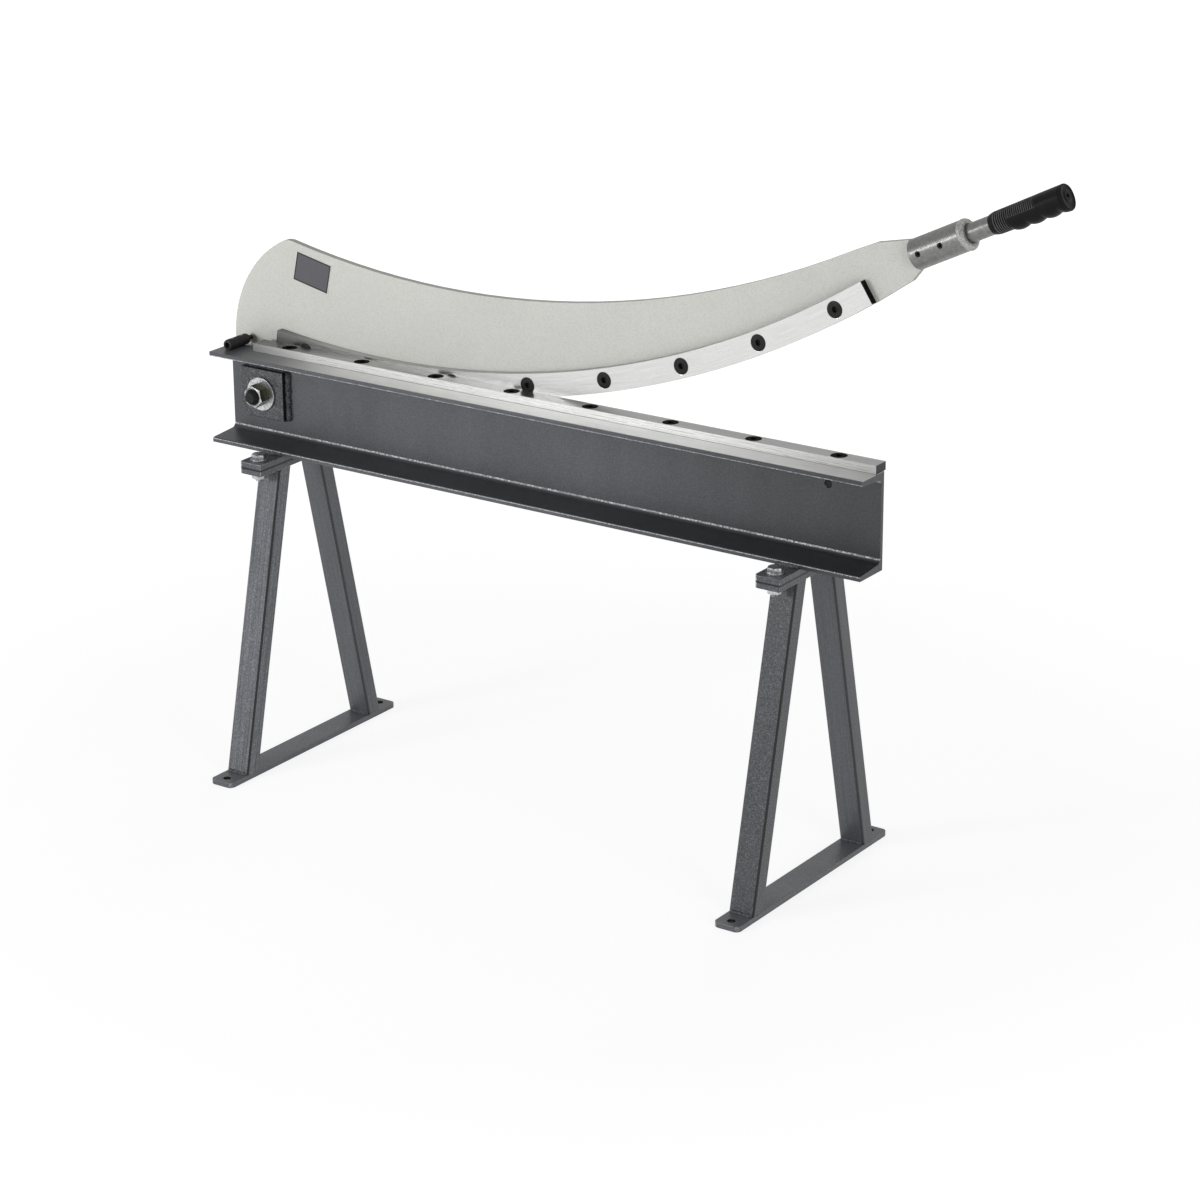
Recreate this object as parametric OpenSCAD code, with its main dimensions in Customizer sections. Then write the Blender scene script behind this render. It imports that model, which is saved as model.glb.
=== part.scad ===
// Lever shear on four splayed legs: a channel beam carries a straight blade on its top flange, and a
// curved arm with a curved blade swings down past it about a pivot bolt near the beam's left end.
// Origin: on the floor, midway between the four floor holes. +X runs from the pivot to the handle,
// -Y is the side where the user stands, +Z is up. Lengths are in millimetres.

/* [Stand] */
// Length of a foot plate, across the beam
foot_l = 400; // [390:1:500]
// Width of a foot plate and of a joint plate
foot_w = 41; // [40:1:60]
// Thickness of a foot plate
foot_t = 8; // [4:0.5:12]
// Corner radius of a foot plate
foot_corner_r = 8; // [2:0.5:12]
// Diameter of a floor hole
floor_hole_d = 11; // [6:0.5:12]
// Distance from a foot plate's end to its floor hole
floor_hole_inset = 15; // [13:1:30]
// Width of a leg tube, along the beam
leg_w = 40; // [30:1:40]
// Depth of a leg tube, along its slope
leg_d = 26; // [15:0.5:30]
// Wall of a leg tube
leg_wall = 2; // [1:0.1:3]
// Outer corner radius of a leg tube
leg_corner_r = 3; // [3:0.1:6]
// Distance from a foot plate's end to the outer face of a leg
leg_foot_inset = 39; // [36:1:70]
// Distance from a joint plate's end to the outer face of a leg
leg_top_inset = 44.6; // [36:0.1:55]
// Height of the top of the legs above the floor
leg_top_z = 462.5; // [300:0.5:600]

/* [Leg joints] */
// Length of a joint plate
joint_plate_l = 208; // [198:1:240]
// Thickness of a joint plate
joint_plate_t = 9; // [5:0.5:12]
// Corner radius on the left side of a joint plate
joint_corner_r = 7; // [2:0.5:18]
// Distance from a joint plate's end to its bolt
joint_bolt_inset = 21; // [13:0.5:24]
// Diameter of a joint bolt
joint_bolt_d = 12; // [8:0.5:12]

/* [Beam] */
// Length of the beam to the left of the left foot's centre
beam_overhang = 115; // [112:1:130]
// Length of the beam to the right of the right foot's centre
beam_overhang_right = 113; // [104:1:130]
// Length of the beam to the right of the fixed blade
beam_margin = 1; // [0:0.5:20]
// Height of the beam
beam_h = 140; // [136:1:160]
// Width of a flange, web included
flange_w = 58; // [54:0.5:70]
// Thickness of the web
web_t = 6; // [5:0.5:8]
// Thickness of a flange at its free edge
toe_t = 7; // [6:0.5:8]
// Thickness of a flange where it meets the web
root_t = 11; // [10:0.5:12]
// Fillet radius inside the channel
beam_fillet_r = 8; // [4:0.5:10]
// Rounding of a flange's free inner edge
toe_r = 3; // [1:0.5:4]
// Distance from the stand's middle plane back to the web's rear face
web_back_y = 7.2; // [5:0.1:10]

/* [Blades] */
// Length of each blade
blade_l = 1070; // [1060:1:1070]
// Thickness of each blade
blade_t = 12; // [10:0.5:14]
// Width of the fixed blade
fixed_blade_w = 25.5; // [25:0.5:27]
// Height of the moving blade
moving_blade_h = 34.3; // [30:0.1:38]
// Distance from the beam's left end to the fixed blade
blade_setback = 53; // [50:1:54]
// How far the fixed blade stands out behind the web
blade_overhang = 5.3; // [4:0.1:6]
// Gap between the two blades
shear_gap = 0.3; // [0.3:0.05:0.5]
// Number of screws in each blade
blade_screws = 8; // [6:1:8]
// Distance from the fixed blade's left end to its first screw
fixed_screw_inset = 60; // [50:0.5:80]
// Distance from the fixed blade's last screw to its right end
fixed_screw_end = 65; // [50:0.5:80]
// Diameter of a blade screw
blade_screw_d = 12; // [8:0.5:12]
// Diameter of a blade screw's countersunk head
blade_head_d = 24; // [20:0.5:24]
// Length of a fixed blade screw, head included
fixed_screw_l = 20; // [18:0.5:21]
// Radius of the moving blade's cutting edge
edge_r = 1481.7; // [1478:0.1:1486]
// Length of the moving blade's edge to the left of its arc's lowest point
blade_lead = 212; // [204:0.5:220]

/* [Arm] */
// Thickness of the arm
arm_t = 10; // [8:0.5:12]
// Arc centre of the arm's lower edge, to the right of the pivot
edge_x = 220.7; // [215:0.1:225]
// Height of the lower edge's arc above the pivot, at its lowest
edge_h = 45.4; // [42:0.1:49]
// Radius of the arm's upper edge
top_r = 1462.8; // [1460:0.1:1466]
// Arc centre of the arm's upper edge, to the right of the pivot
top_x = 342.6; // [340:0.1:345]
// Height of the upper edge's arc above the pivot, at its lowest
top_h = 199.3; // [196:0.1:203]
// Distance from the socket's left end to the end of the upper edge's arc
top_end_reach = 99.6; // [90:0.1:105]
// Radius of the arm's left edge
left_r = 178.7; // [174:0.1:184]
// How far the arm's left edge reaches to the left of the pivot
left_reach = 76.9; // [74:0.1:80]
// Arc centre of the arm's left edge, above the pivot
left_z = 69.4; // [66:0.1:72]
// Radius of the round eye about the pivot
eye_r = 72; // [66:0.5:74]
// Rounding of the arm's upper left corner
arm_corner_r = 30; // [10:1:40]
// Fillet between the eye and the lower edge
eye_fillet_r = 10; // [5:0.5:14]
// Length of the bare rating plate on the arm
rating_l = 66; // [30:1:70]
// Height of the rating plate
rating_h = 46; // [20:1:50]
// Thickness of the rating plate
rating_t = 0.6; // [0.4:0.1:2]
// Angle of the rating plate
rating_a = -12; // [-20:1:0]

/* [Pivot] */
// Distance from the left foot's centre to the pivot
pivot_offset = 50; // [48:0.5:54]
// Height of the pivot above the underside of the beam
pivot_h = 75.5; // [74:0.5:78]
// Diameter of the pivot bolt
pivot_d = 20; // [18:0.5:24]
// Length of the pivot plate, along the beam
pivot_plate_l = 80; // [64:1:84]
// Height of the pivot plate
pivot_plate_h = 74; // [60:1:80]
// Thickness of the pivot plate
pivot_plate_t = 12; // [6:0.5:16]
// Outer diameter of the pivot washers
pivot_washer_d = 51; // [45:0.5:56]
// Thickness of a pivot washer
pivot_washer_t = 4; // [2:0.5:5]
// Outer diameter of the spacer between the web and the arm
spacer_d = 60; // [40:1:70]

/* [Stops and adjustment] */
// Diameter of the pin that stops the lowered arm
stop_d = 12.5; // [8:0.5:14]
// Distance from the beam's right end to the stop pin
stop_inset = 83; // [78:1:90]
// Height of the stop pin above the underside of the beam
stop_h = 108.5; // [104:0.5:110]
// Outer diameter of the adjuster's boss
boss_d = 17; // [14:0.5:18]
// Length of the boss
boss_l = 45; // [36:1:46]
// Distance from the beam's left end to the boss
boss_inset = 18.5; // [14:0.5:22]
// Distance from the stand's middle plane forward to the boss's front end
boss_front = 31; // [28:0.5:34]
// Diameter of the adjusting screw
adjuster_d = 8; // [6:0.5:8]
// Diameter of the adjusting screw's tip
adjuster_tip_d = 7; // [4:0.5:7.5]
// Diameter of a lock screw in the boss
lock_d = 4; // [3:0.5:5]

/* [Handle] */
// Distance from the moving blade's end to the socket's left end, along the handle
socket_reach = 82; // [72:0.5:84]
// Height of the handle's axis above the moving blade's end, square to the handle
socket_rise = 39.8; // [36:0.1:44]
// Angle by which the handle is flatter than the moving blade's end
handle_bend_a = 6.8; // [4:0.1:9]
// Diameter of the socket
socket_d = 42.5; // [40:0.5:46]
// Length of the socket
socket_l = 84; // [80:1:110]
// Diameter of the bore that takes the arm's tongue
socket_bore_d = 31; // [28:0.5:33]
// Length of the arm's tongue in the socket
tongue_l = 56; // [50:1:64]
// Diameter of a grub screw
grub_d = 8; // [5:0.5:10]
// Distance from the socket's left end to the first grub screw
grub_inset = 14.5; // [12:0.5:20]
// Distance between the grub screws
grub_pitch = 36; // [30:1:36]
// Angle of the grub screws above level
grub_tilt = 0; // [0:1:10]
// Diameter of the handle rod
rod_d = 26; // [22:0.5:27]
// Length of bare rod between the socket and the grip
rod_bare_l = 40; // [10:1:80]
// Length of the grip
grip_l = 116; // [100:1:160]
// Diameter of the grip
grip_d = 32; // [32:0.2:36]
// Diameter of the collar at the grip's end
grip_collar_d = 33.4; // [33.4:0.2:40]
// Number of finger bumps under the grip
grip_bumps = 4; // [2:1:5]
// Distance between the finger bumps
bump_pitch = 24; // [18:0.5:26]

/* [Hidden] */
// Radial gap round a fixed screw, pin or rod in its hole
fit_gap = 0.1;
// Radial running gap of the pivot bolt and the adjusting screw
run_gap = 0.05;
// Radial gap of a joint bolt in the plates
bolt_gap = 0.5;
// Gap between parts that move past each other
side_gap = 0.3;
// How far a cut runs past the face that it opens in
overrun = 1;
// How far a corner or fillet wedge reaches past its arc
wedge_reach_share = 1.2;
// How far an arc bites past the faces that it runs into, so that they meet in a clean edge
arc_bite = 0.05;
// How far the arm's neck runs back over its curved band
neck_lap = 20;
// Facets of a small circle and of a large arc
$fn = 48;
arc_fn = 720;

beam_l = blade_setback + blade_l + beam_margin;
foot_spacing = beam_l - beam_overhang - beam_overhang_right;
foot_x = foot_spacing / 2;
floor_hole_spacing = foot_l - 2 * floor_hole_inset;
joint_bolt_spacing = joint_plate_l - 2 * joint_bolt_inset;
joint_z = leg_top_z + joint_plate_t;
beam_z = joint_z + joint_plate_t;
beam_left = -foot_x - beam_overhang;
beam_right = beam_left + beam_l;
beam_top = beam_z + beam_h;
web_front_y = web_back_y - web_t;
toe_y = web_back_y - flange_w;

// Leg slope, measured on the outer faces
leg_foot_y = foot_l / 2 - leg_foot_inset;
leg_top_y = joint_plate_l / 2 - leg_top_inset;
leg_run = leg_foot_y - leg_top_y;
leg_rise = leg_top_z - foot_t;
leg_a = atan(leg_run / leg_rise);
leg_half_d = leg_d / cos(leg_a) / 2;

// Hexagon bolts, nuts, washers and key sockets, as shares of the bolt's diameter
hex_af_share = 1.58;
hex_head_share = 0.62;
hex_nut_share = 0.83;
washer_od_share = 2.1;
washer_t_share = 0.2;
bolt_end_share = 0.35;
pivot_nut_share = 0.9;
pivot_end_share = 0.385;
key_af_share = 0.67;
key_depth_share = 0.4;

// Blade and arm planes, from front to back
fixed_back_y = web_back_y + blade_overhang;
moving_front_y = fixed_back_y + shear_gap;
arm_front_y = moving_front_y + blade_t;
arm_back_y = arm_front_y + arm_t;
arm_mid_y = (arm_front_y + arm_back_y) / 2;
blade_x = beam_left + blade_setback;
blade_head_h = (blade_head_d - blade_screw_d) / 2;

pivot_x = -foot_x - pivot_offset;
pivot_z = beam_z + pivot_h;
pivot_af = pivot_d * 1.5;
pivot_plate_y = web_front_y - pivot_plate_t;
pivot_nut_y = pivot_plate_y - pivot_washer_t;
pivot_nut_t = pivot_d * pivot_nut_share;
pivot_end_y = pivot_nut_y - pivot_nut_t - pivot_d * pivot_end_share;
pivot_head_y = arm_back_y + side_gap + pivot_washer_t;

stop_x = beam_right - stop_inset;
stop_z = beam_z + stop_h;
stop_recess = web_t / 4;
boss_x = beam_left + boss_inset;
boss_flat_share = 0.05;
boss_z = beam_top + boss_d / 2 - boss_d * boss_flat_share;
boss_back_y = boss_l - boss_front;
adjuster_recess = adjuster_d / 2;
adjuster_tip_l = arm_front_y - side_gap - boss_back_y;
lock_inset_shares = [0.28, 0.72];

// Arc centres of the arm, from the pivot, as [right, up]
edge_c = [edge_x, edge_r + edge_h];
top_c = [top_x, top_r + top_h];
left_c = [left_r - left_reach, left_z];
blade_start_a = -blade_lead / edge_r * 180 / PI;
blade_span_a = blade_l / edge_r * 180 / PI;
blade_end_a = blade_start_a + blade_span_a;
blade_screw_pitch = (blade_l - fixed_screw_inset - fixed_screw_end) / (blade_screws - 1);
screw_r = edge_r - moving_blade_h / 2;
screw_step_a = blade_screw_pitch / screw_r * 180 / PI;
screw_start_a = (blade_start_a + blade_end_a - (blade_screws - 1) * screw_step_a) / 2;

// Handle, from the moving blade's end, and where the upper edge's arc ends
handle_a = blade_end_a - handle_bend_a;
blade_end = on_arc(edge_c, edge_r, blade_end_a);
socket_c = blade_end + socket_reach * [cos(handle_a), sin(handle_a)]
  + socket_rise * [-sin(handle_a), cos(handle_a)];
top_end = meet(top_c, top_r, socket_c, top_end_reach, -1);

// Outline of the arm between the blade's end and the socket, back from the socket's end face and
// out from its axis, as shares of the socket's diameter
neck_low_shares = [-0.44, -0.715];
neck_top_shares = [-1.14, 0.79];

// Place of the rating plate, from the left edge's arc centre, as shares of that arc's radius
rating_shares = [-0.147, 0.668];

// Grip: how thick it starts, how long it tapers, and the edges of its collar, as shares of its radius
grip_start_share = 0.885;
grip_taper_share = 0.45;
grip_collar_shares = [1, 0.7, 0.1];

// Finger bumps: their radius as a share of the grip's diameter, how far they reach down as a share of
// the collar's radius, and the last one's place as a share of their radius
bump_r_share = 0.44;
bump_drop_share = 1.15;
bump_end_share = 0.25;

grip_start = socket_l + rod_bare_l;
grip_end = grip_start + grip_l;
grip_wall_end = grip_end - rod_d / 3;
rod_start = tongue_l + socket_l / 20;
bump_r = grip_d * bump_r_share;
bump_drop = grip_collar_d / 2 * bump_drop_share - bump_r;
bump_last = grip_end - bump_r * bump_end_share;

// Point at an angle from straight down on an arc
function on_arc(c, r, a) = c + r * [sin(a), -cos(a)];

// One of the two points that lie ra from a and rb from b
function meet(a, ra, b, rb, side) =
  let (d = b - a, n = norm(d), t = (ra * ra - rb * rb + n * n) / (2 * n), h = sqrt(ra * ra - t * t))
  a + t * d / n + side * h * [-d.y, d.x] / n;

// Point at a distance from c, in the direction of p
function towards(c, p, r) = c + r * (p - c) / norm(p - c);

// Point along the handle and above its axis, from the pivot
function on_handle(s, n) =
  socket_c + s * [cos(handle_a), sin(handle_a)] + n * [-sin(handle_a), cos(handle_a)];

// Draws a plane figure of x and z, thickened from y0 back to y1
module upright(y0, y1) {
  translate([0, y1, 0]) rotate([90, 0, 0]) linear_extrude(y1 - y0) children();
}

// Places a shape drawn along z so that it runs back along y
module back_along_y(x, y, z) {
  translate([x, y, z]) rotate([-90, 0, 0]) children();
}

// Places a shape in the lever's frame, at the pivot
module at_pivot() {
  translate([pivot_x, 0, pivot_z]) children();
}

// Places a shape drawn along z so that it runs along the handle, from the socket's left end
module along_handle() {
  at_pivot() translate([socket_c.x, arm_mid_y, socket_c.y]) rotate([0, 90 - handle_a, 0]) children();
}

// Rounded rectangle about the origin
module rounded_rect(l, w, r) {
  square([l - 2 * r, w], center = true);
  square([l, w - 2 * r], center = true);
  for (sx = [-1, 1], sy = [-1, 1])
    translate([sx * (l / 2 - r), sy * (w / 2 - r)]) circle(r);
}

// What lies between an arc of radius r about c and the corner that the arc rounds or fills. The three
// points run anticlockwise, as those of every outline here do.
module corner_wedge(c, r, first, corner, last) {
  difference() {
    polygon([c, for (p = [first, corner, last]) c + wedge_reach_share * (p - c)]);
    translate(c) circle(r + arc_bite);
  }
}

module hex_prism(af, h) {
  cylinder(d = af / cos(30), h = h, $fn = 6);
}

// Countersunk screw that enters along z, with its head's top at z = 0, or the hole for it
module countersunk(d, head_d, l, gap) {
  head_h = (head_d - d) / 2;
  cylinder(d = d + 2 * gap, h = l);
  cylinder(d1 = head_d + 2 * gap, d2 = d + 2 * gap, h = head_h);
}

module blade_screw(l) {
  difference() {
    countersunk(blade_screw_d, blade_head_d, l, 0);
    translate([0, 0, -overrun])
      hex_prism(blade_screw_d * key_af_share, overrun + blade_screw_d * key_depth_share);
  }
}

// Set screw along z with a key socket in the face at z = l
module set_screw(d, l) {
  difference() {
    cylinder(d = d, h = l);
    translate([0, 0, l - d * key_depth_share]) hex_prism(d / 2, d * key_depth_share + overrun);
  }
}

module foot_plate(side) {
  color([0.27, 0.27, 0.29])
  translate([side * foot_x, 0, 0]) difference() {
    linear_extrude(foot_t) rounded_rect(foot_w, foot_l, foot_corner_r);
    for (sy = [-1, 1])
      translate([0, sy * floor_hole_spacing / 2, -overrun])
        cylinder(d = floor_hole_d, h = foot_t + 2 * overrun);
  }
}

module leg_section() {
  difference() {
    rounded_rect(leg_w, leg_d, leg_corner_r);
    rounded_rect(leg_w - 2 * leg_wall, leg_d - 2 * leg_wall, leg_corner_r - leg_wall);
  }
}

// Slanted tube, cut level at the foot plate and at the joint plate
module leg(side, front) {
  foot_y = leg_foot_y - leg_half_d;
  color([0.27, 0.27, 0.29])
  mirror([0, front ? 0 : 1, 0]) intersection() {
    translate([side * foot_x, -foot_y, foot_t]) rotate([-leg_a, 0, 0])
      translate([0, 0, -leg_d]) linear_extrude(leg_rise / cos(leg_a) + 2 * leg_d) leg_section();
    translate([side * foot_x - leg_w, -foot_l, foot_t])
      cube([2 * leg_w, foot_l, leg_rise]);
  }
}

// Places its children at the two bolts of the joint on one side
module at_joint_bolts(side) {
  for (sy = [-1, 1]) translate([side * foot_x, sy * joint_bolt_spacing / 2, 0]) children();
}

module joint_plate(side, z) {
  r = joint_corner_r;
  color([0.27, 0.27, 0.29])
  translate([0, 0, z]) difference() {
    translate([side * foot_x, 0, 0]) linear_extrude(joint_plate_t) {
      translate([r - foot_w / 2, -joint_plate_l / 2]) square([foot_w - r, joint_plate_l]);
      square([foot_w, joint_plate_l - 2 * r], center = true);
      for (sy = [-1, 1])
        translate([r - foot_w / 2, sy * (joint_plate_l / 2 - r)]) circle(r);
    }
    translate([0, 0, -overrun]) at_joint_bolts(side)
      cylinder(d = joint_bolt_d + 2 * bolt_gap, h = joint_plate_t + 2 * overrun);
  }
}

module washer(d, od, t) {
  difference() {
    cylinder(d = od, h = t);
    translate([0, 0, -overrun]) cylinder(d = d + 2 * fit_gap, h = t + 2 * overrun);
  }
}

module nut(d, af, h) {
  difference() {
    hex_prism(af, h);
    translate([0, 0, -overrun]) cylinder(d = d + 2 * fit_gap, h = h + 2 * overrun);
  }
}

module joint_bolts() {
  d = joint_bolt_d;
  washer_top = beam_z + d * washer_t_share;
  end_z = leg_top_z - d * (hex_nut_share + bolt_end_share);
  color([0.72, 0.72, 0.70])
  for (side = [-1, 1]) at_joint_bolts(side) {
    translate([0, 0, washer_top]) hex_prism(d * hex_af_share, d * hex_head_share);
    translate([0, 0, end_z]) cylinder(d = d, h = washer_top - end_z);
  }
}

module joint_washers() {
  d = joint_bolt_d;
  color([0.72, 0.72, 0.70])
  for (side = [-1, 1]) at_joint_bolts(side)
    translate([0, 0, beam_z]) washer(d, d * washer_od_share, d * washer_t_share);
}

module joint_nuts() {
  d = joint_bolt_d;
  color([0.72, 0.72, 0.70])
  for (side = [-1, 1]) at_joint_bolts(side)
    translate([0, 0, leg_top_z - d * hex_nut_share]) nut(d, d * hex_af_share, d * hex_nut_share);
}

// Lower flange of the channel as y and z above the beam's underside, with the fillet to the web
module flange_section() {
  taper_a = atan((root_t - toe_t) / (flange_w - web_t));
  normal = [-sin(taper_a), cos(taper_a)];
  root = [web_front_y, root_t];
  toe = [toe_y, toe_t];
  fillet_y = web_front_y - beam_fillet_r;
  fillet_c = [fillet_y,
              toe_t + (fillet_y - toe_y) * tan(taper_a) + beam_fillet_r / cos(taper_a)];
  round_y = toe_y + toe_r;
  round_c = [round_y, toe_t + toe_r * tan(taper_a) - toe_r / cos(taper_a)];
  difference() {
    polygon([[toe_y, 0], [web_front_y + overrun, 0], [web_front_y + overrun, root_t], root, toe]);
    corner_wedge(round_c, toe_r, [toe_y, round_c.y], toe, round_c + toe_r * normal);
  }
  corner_wedge(fillet_c, beam_fillet_r, fillet_c - beam_fillet_r * normal, root,
               [web_front_y, fillet_c.y]);
}

module beam() {
  color([0.29, 0.29, 0.31])
  difference() {
    translate([beam_left, 0, beam_z]) rotate([90, 0, 90]) linear_extrude(beam_l) {
      translate([web_front_y, 0]) square([web_t, beam_h]);
      flange_section();
      translate([0, beam_h]) mirror([0, 1]) flange_section();
    }
    for (i = [0:blade_screws - 1])
      translate([blade_x + fixed_screw_inset + i * blade_screw_pitch, 0, beam_top - root_t - overrun])
        cylinder(d = blade_screw_d + 2 * fit_gap, h = root_t + 2 * overrun);
    back_along_y(pivot_x, web_front_y - overrun, pivot_z)
      cylinder(d = pivot_d + 2 * fit_gap, h = web_t + 2 * overrun);
    back_along_y(stop_x, web_front_y - overrun, stop_z)
      cylinder(d = stop_d + 2 * fit_gap, h = web_t + 2 * overrun);
  }
}

module pivot_plate() {
  color([0.29, 0.29, 0.31])
  difference() {
    translate([pivot_x - pivot_plate_l / 2, pivot_plate_y, pivot_z - pivot_plate_h / 2])
      cube([pivot_plate_l, pivot_plate_t, pivot_plate_h]);
    back_along_y(pivot_x, pivot_plate_y - overrun, pivot_z)
      cylinder(d = pivot_d + 2 * fit_gap, h = pivot_plate_t + 2 * overrun);
  }
}

// Places its children at the fixed blade's screws, with z running down from the blade's top
module at_fixed_screws() {
  for (i = [0:blade_screws - 1])
    translate([blade_x + fixed_screw_inset + i * blade_screw_pitch, 0, beam_top + blade_t])
      mirror([0, 0, 1]) children();
}

module fixed_blade() {
  color([0.62, 0.62, 0.61])
  difference() {
    translate([blade_x, fixed_back_y - fixed_blade_w, beam_top])
      cube([blade_l, fixed_blade_w, blade_t]);
    at_fixed_screws() countersunk(blade_screw_d, blade_head_d, blade_t + overrun, fit_gap);
  }
}

module fixed_blade_screws() {
  color([0.10, 0.10, 0.10]) at_fixed_screws() blade_screw(fixed_screw_l);
}

module pivot_bolt() {
  color([0.12, 0.12, 0.12]) {
    back_along_y(pivot_x, pivot_end_y, pivot_z) cylinder(d = pivot_d, h = pivot_head_y - pivot_end_y);
    back_along_y(pivot_x, pivot_head_y, pivot_z) hex_prism(pivot_af, pivot_d * hex_head_share);
  }
}

module pivot_washer(y) {
  color([0.72, 0.72, 0.70])
  back_along_y(pivot_x, y, pivot_z) washer(pivot_d, pivot_washer_d, pivot_washer_t);
}

module pivot_nut() {
  color([0.72, 0.72, 0.70])
  back_along_y(pivot_x, pivot_nut_y - pivot_nut_t, pivot_z) nut(pivot_d, pivot_af, pivot_nut_t);
}

module pivot_spacer() {
  color([0.60, 0.60, 0.58])
  back_along_y(pivot_x, web_back_y, pivot_z)
    washer(pivot_d, spacer_d, arm_front_y - side_gap - web_back_y);
}

// Boss on the top flange, with a level seat, a bore for the screw and two holes for the lock screws
module adjuster_boss() {
  color([0.10, 0.10, 0.10])
  difference() {
    back_along_y(boss_x, -boss_front, boss_z) cylinder(d = boss_d, h = boss_l);
    translate([boss_x - boss_d, -boss_front - overrun, beam_top - boss_d])
      cube([2 * boss_d, boss_l + 2 * overrun, boss_d]);
    back_along_y(boss_x, -boss_front - overrun, boss_z)
      cylinder(d = adjuster_d + 2 * run_gap, h = boss_l + 2 * overrun);
    for (share = lock_inset_shares)
      translate([boss_x, boss_l * share - boss_front, boss_z])
        cylinder(d = lock_d + 2 * fit_gap, h = boss_d);
  }
}

module adjusting_screw() {
  body_l = boss_l - adjuster_recess;
  color([0.16, 0.16, 0.16])
  difference() {
    union() {
      back_along_y(boss_x, adjuster_recess - boss_front, boss_z) cylinder(d = adjuster_d, h = body_l);
      back_along_y(boss_x, boss_back_y, boss_z) cylinder(d = adjuster_tip_d, h = adjuster_tip_l);
    }
    back_along_y(boss_x, adjuster_recess - boss_front - overrun, boss_z)
      hex_prism(adjuster_d / 2, overrun + adjuster_d / 2);
  }
}

module adjuster_lock_screws() {
  lock_z = adjuster_d / 2 + side_gap;
  color([0.45, 0.45, 0.44])
  for (share = lock_inset_shares)
    translate([boss_x, boss_l * share - boss_front, boss_z + lock_z])
      set_screw(lock_d, boss_d / 2 - lock_z - lock_d / 16);
}

module arm_stop_pin() {
  color([0.14, 0.14, 0.14])
  back_along_y(stop_x, web_front_y + stop_recess, stop_z)
    cylinder(d = stop_d, h = arm_back_y + overrun - web_front_y - stop_recess);
}

// Eye about the pivot, and what joins it to the left edge
module eye_section() {
  slope = left_c / norm(left_c);
  lean = (eye_r - left_r) / norm(left_c);
  across = [-slope.y, slope.x];
  tangent = lean * slope + sqrt(1 - lean * lean) * across;
  notch = meet([0, 0], eye_r, edge_c, edge_r, -1);
  fillet_c = meet([0, 0], eye_r + eye_fillet_r, edge_c, edge_r + eye_fillet_r, -1);
  circle(eye_r, $fn = arc_fn);
  polygon([[0, 0], [0, eye_r], left_c + (left_r - arc_bite) * tangent, (eye_r - arc_bite) * tangent]);
  intersection() {
    translate(left_c) circle(left_r, $fn = arc_fn);
    polygon([left_c, left_c + left_r * (2 * tangent - [0, 1 / 5]), left_c + 2 * left_r * [-1, 1],
             left_c + 2 * left_r * [0, 1]]);
  }
  corner_wedge(fillet_c, eye_fillet_r, towards(fillet_c, edge_c, eye_fillet_r), notch,
               towards(fillet_c, [0, 0], eye_fillet_r));
}

// Long part of the arm inside its lower arc, from the eye to the socket's face. The neck's outline runs
// back over the band, and past both arcs, which then trim it.
module band_section() {
  band_end = on_arc(edge_c, edge_r + neck_lap, blade_end_a - neck_lap / edge_r * 180 / PI);
  neck_low = on_handle(neck_low_shares.x * socket_d, neck_low_shares.y * socket_d);
  neck_top = on_handle(neck_top_shares.x * socket_d, neck_top_shares.y * socket_d);
  intersection() {
    translate(edge_c) circle(edge_r, $fn = arc_fn);
    union() {
      polygon([[0, 0], [band_end.x, 0], band_end, edge_c, left_c + 2 * left_r * [0, 1], left_c,
               [0, min(left_z, eye_r)]]);
      polygon([towards(blade_end, neck_low, -2 * neck_lap), neck_low, on_handle(0, -socket_d / 2),
               on_handle(0, socket_d / 2), neck_top, towards(top_end, neck_top, -2 * neck_lap)]);
    }
  }
}

// Tongue of the arm in the socket
module tongue_section() {
  half_h = sqrt(pow(socket_bore_d, 2) - pow(arm_t, 2)) / 2 - 2 * fit_gap;
  polygon([on_handle(-socket_d / 2, -half_h), on_handle(tongue_l, -half_h),
           on_handle(tongue_l, half_h), on_handle(-socket_d / 2, half_h)]);
}

module arm_section() {
  corner = meet(left_c, left_r, top_c, top_r, 1);
  round_c = meet(left_c, left_r - arm_corner_r, top_c, top_r + arm_corner_r, 1);
  difference() {
    union() {
      eye_section();
      band_section();
    }
    translate(top_c) circle(top_r, $fn = arc_fn);
    corner_wedge(round_c, arm_corner_r, towards(left_c, round_c, left_r), corner,
                 towards(top_c, round_c, top_r));
  }
  tongue_section();
}

// Places its children at the moving blade's screws, with z running back from the blade's front
module at_moving_screws() {
  for (i = [0:blade_screws - 1]) {
    p = on_arc(edge_c, screw_r, screw_start_a + i * screw_step_a);
    at_pivot() back_along_y(p.x, moving_front_y, p.y) children();
  }
}

module arm_plate() {
  color([0.78, 0.79, 0.76])
  difference() {
    at_pivot() upright(arm_front_y, arm_back_y) arm_section();
    at_pivot() back_along_y(0, arm_front_y - overrun, 0)
      cylinder(d = pivot_d + 2 * run_gap, h = arm_t + 2 * overrun);
    at_moving_screws()
      cylinder(d = blade_screw_d + 2 * fit_gap, h = blade_t + arm_t + overrun);
  }
}

module moving_blade() {
  color([0.55, 0.55, 0.54])
  difference() {
    at_pivot() upright(moving_front_y, arm_front_y) difference() {
      intersection() {
        translate(edge_c) circle(edge_r, $fn = arc_fn);
        polygon([edge_c, for (share = [0:1 / 4:1])
                   on_arc(edge_c, 2 * edge_r, blade_start_a + share * blade_span_a)]);
      }
      translate(edge_c) circle(edge_r - moving_blade_h, $fn = arc_fn);
    }
    at_moving_screws() countersunk(blade_screw_d, blade_head_d, blade_t + overrun, fit_gap);
  }
}

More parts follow.
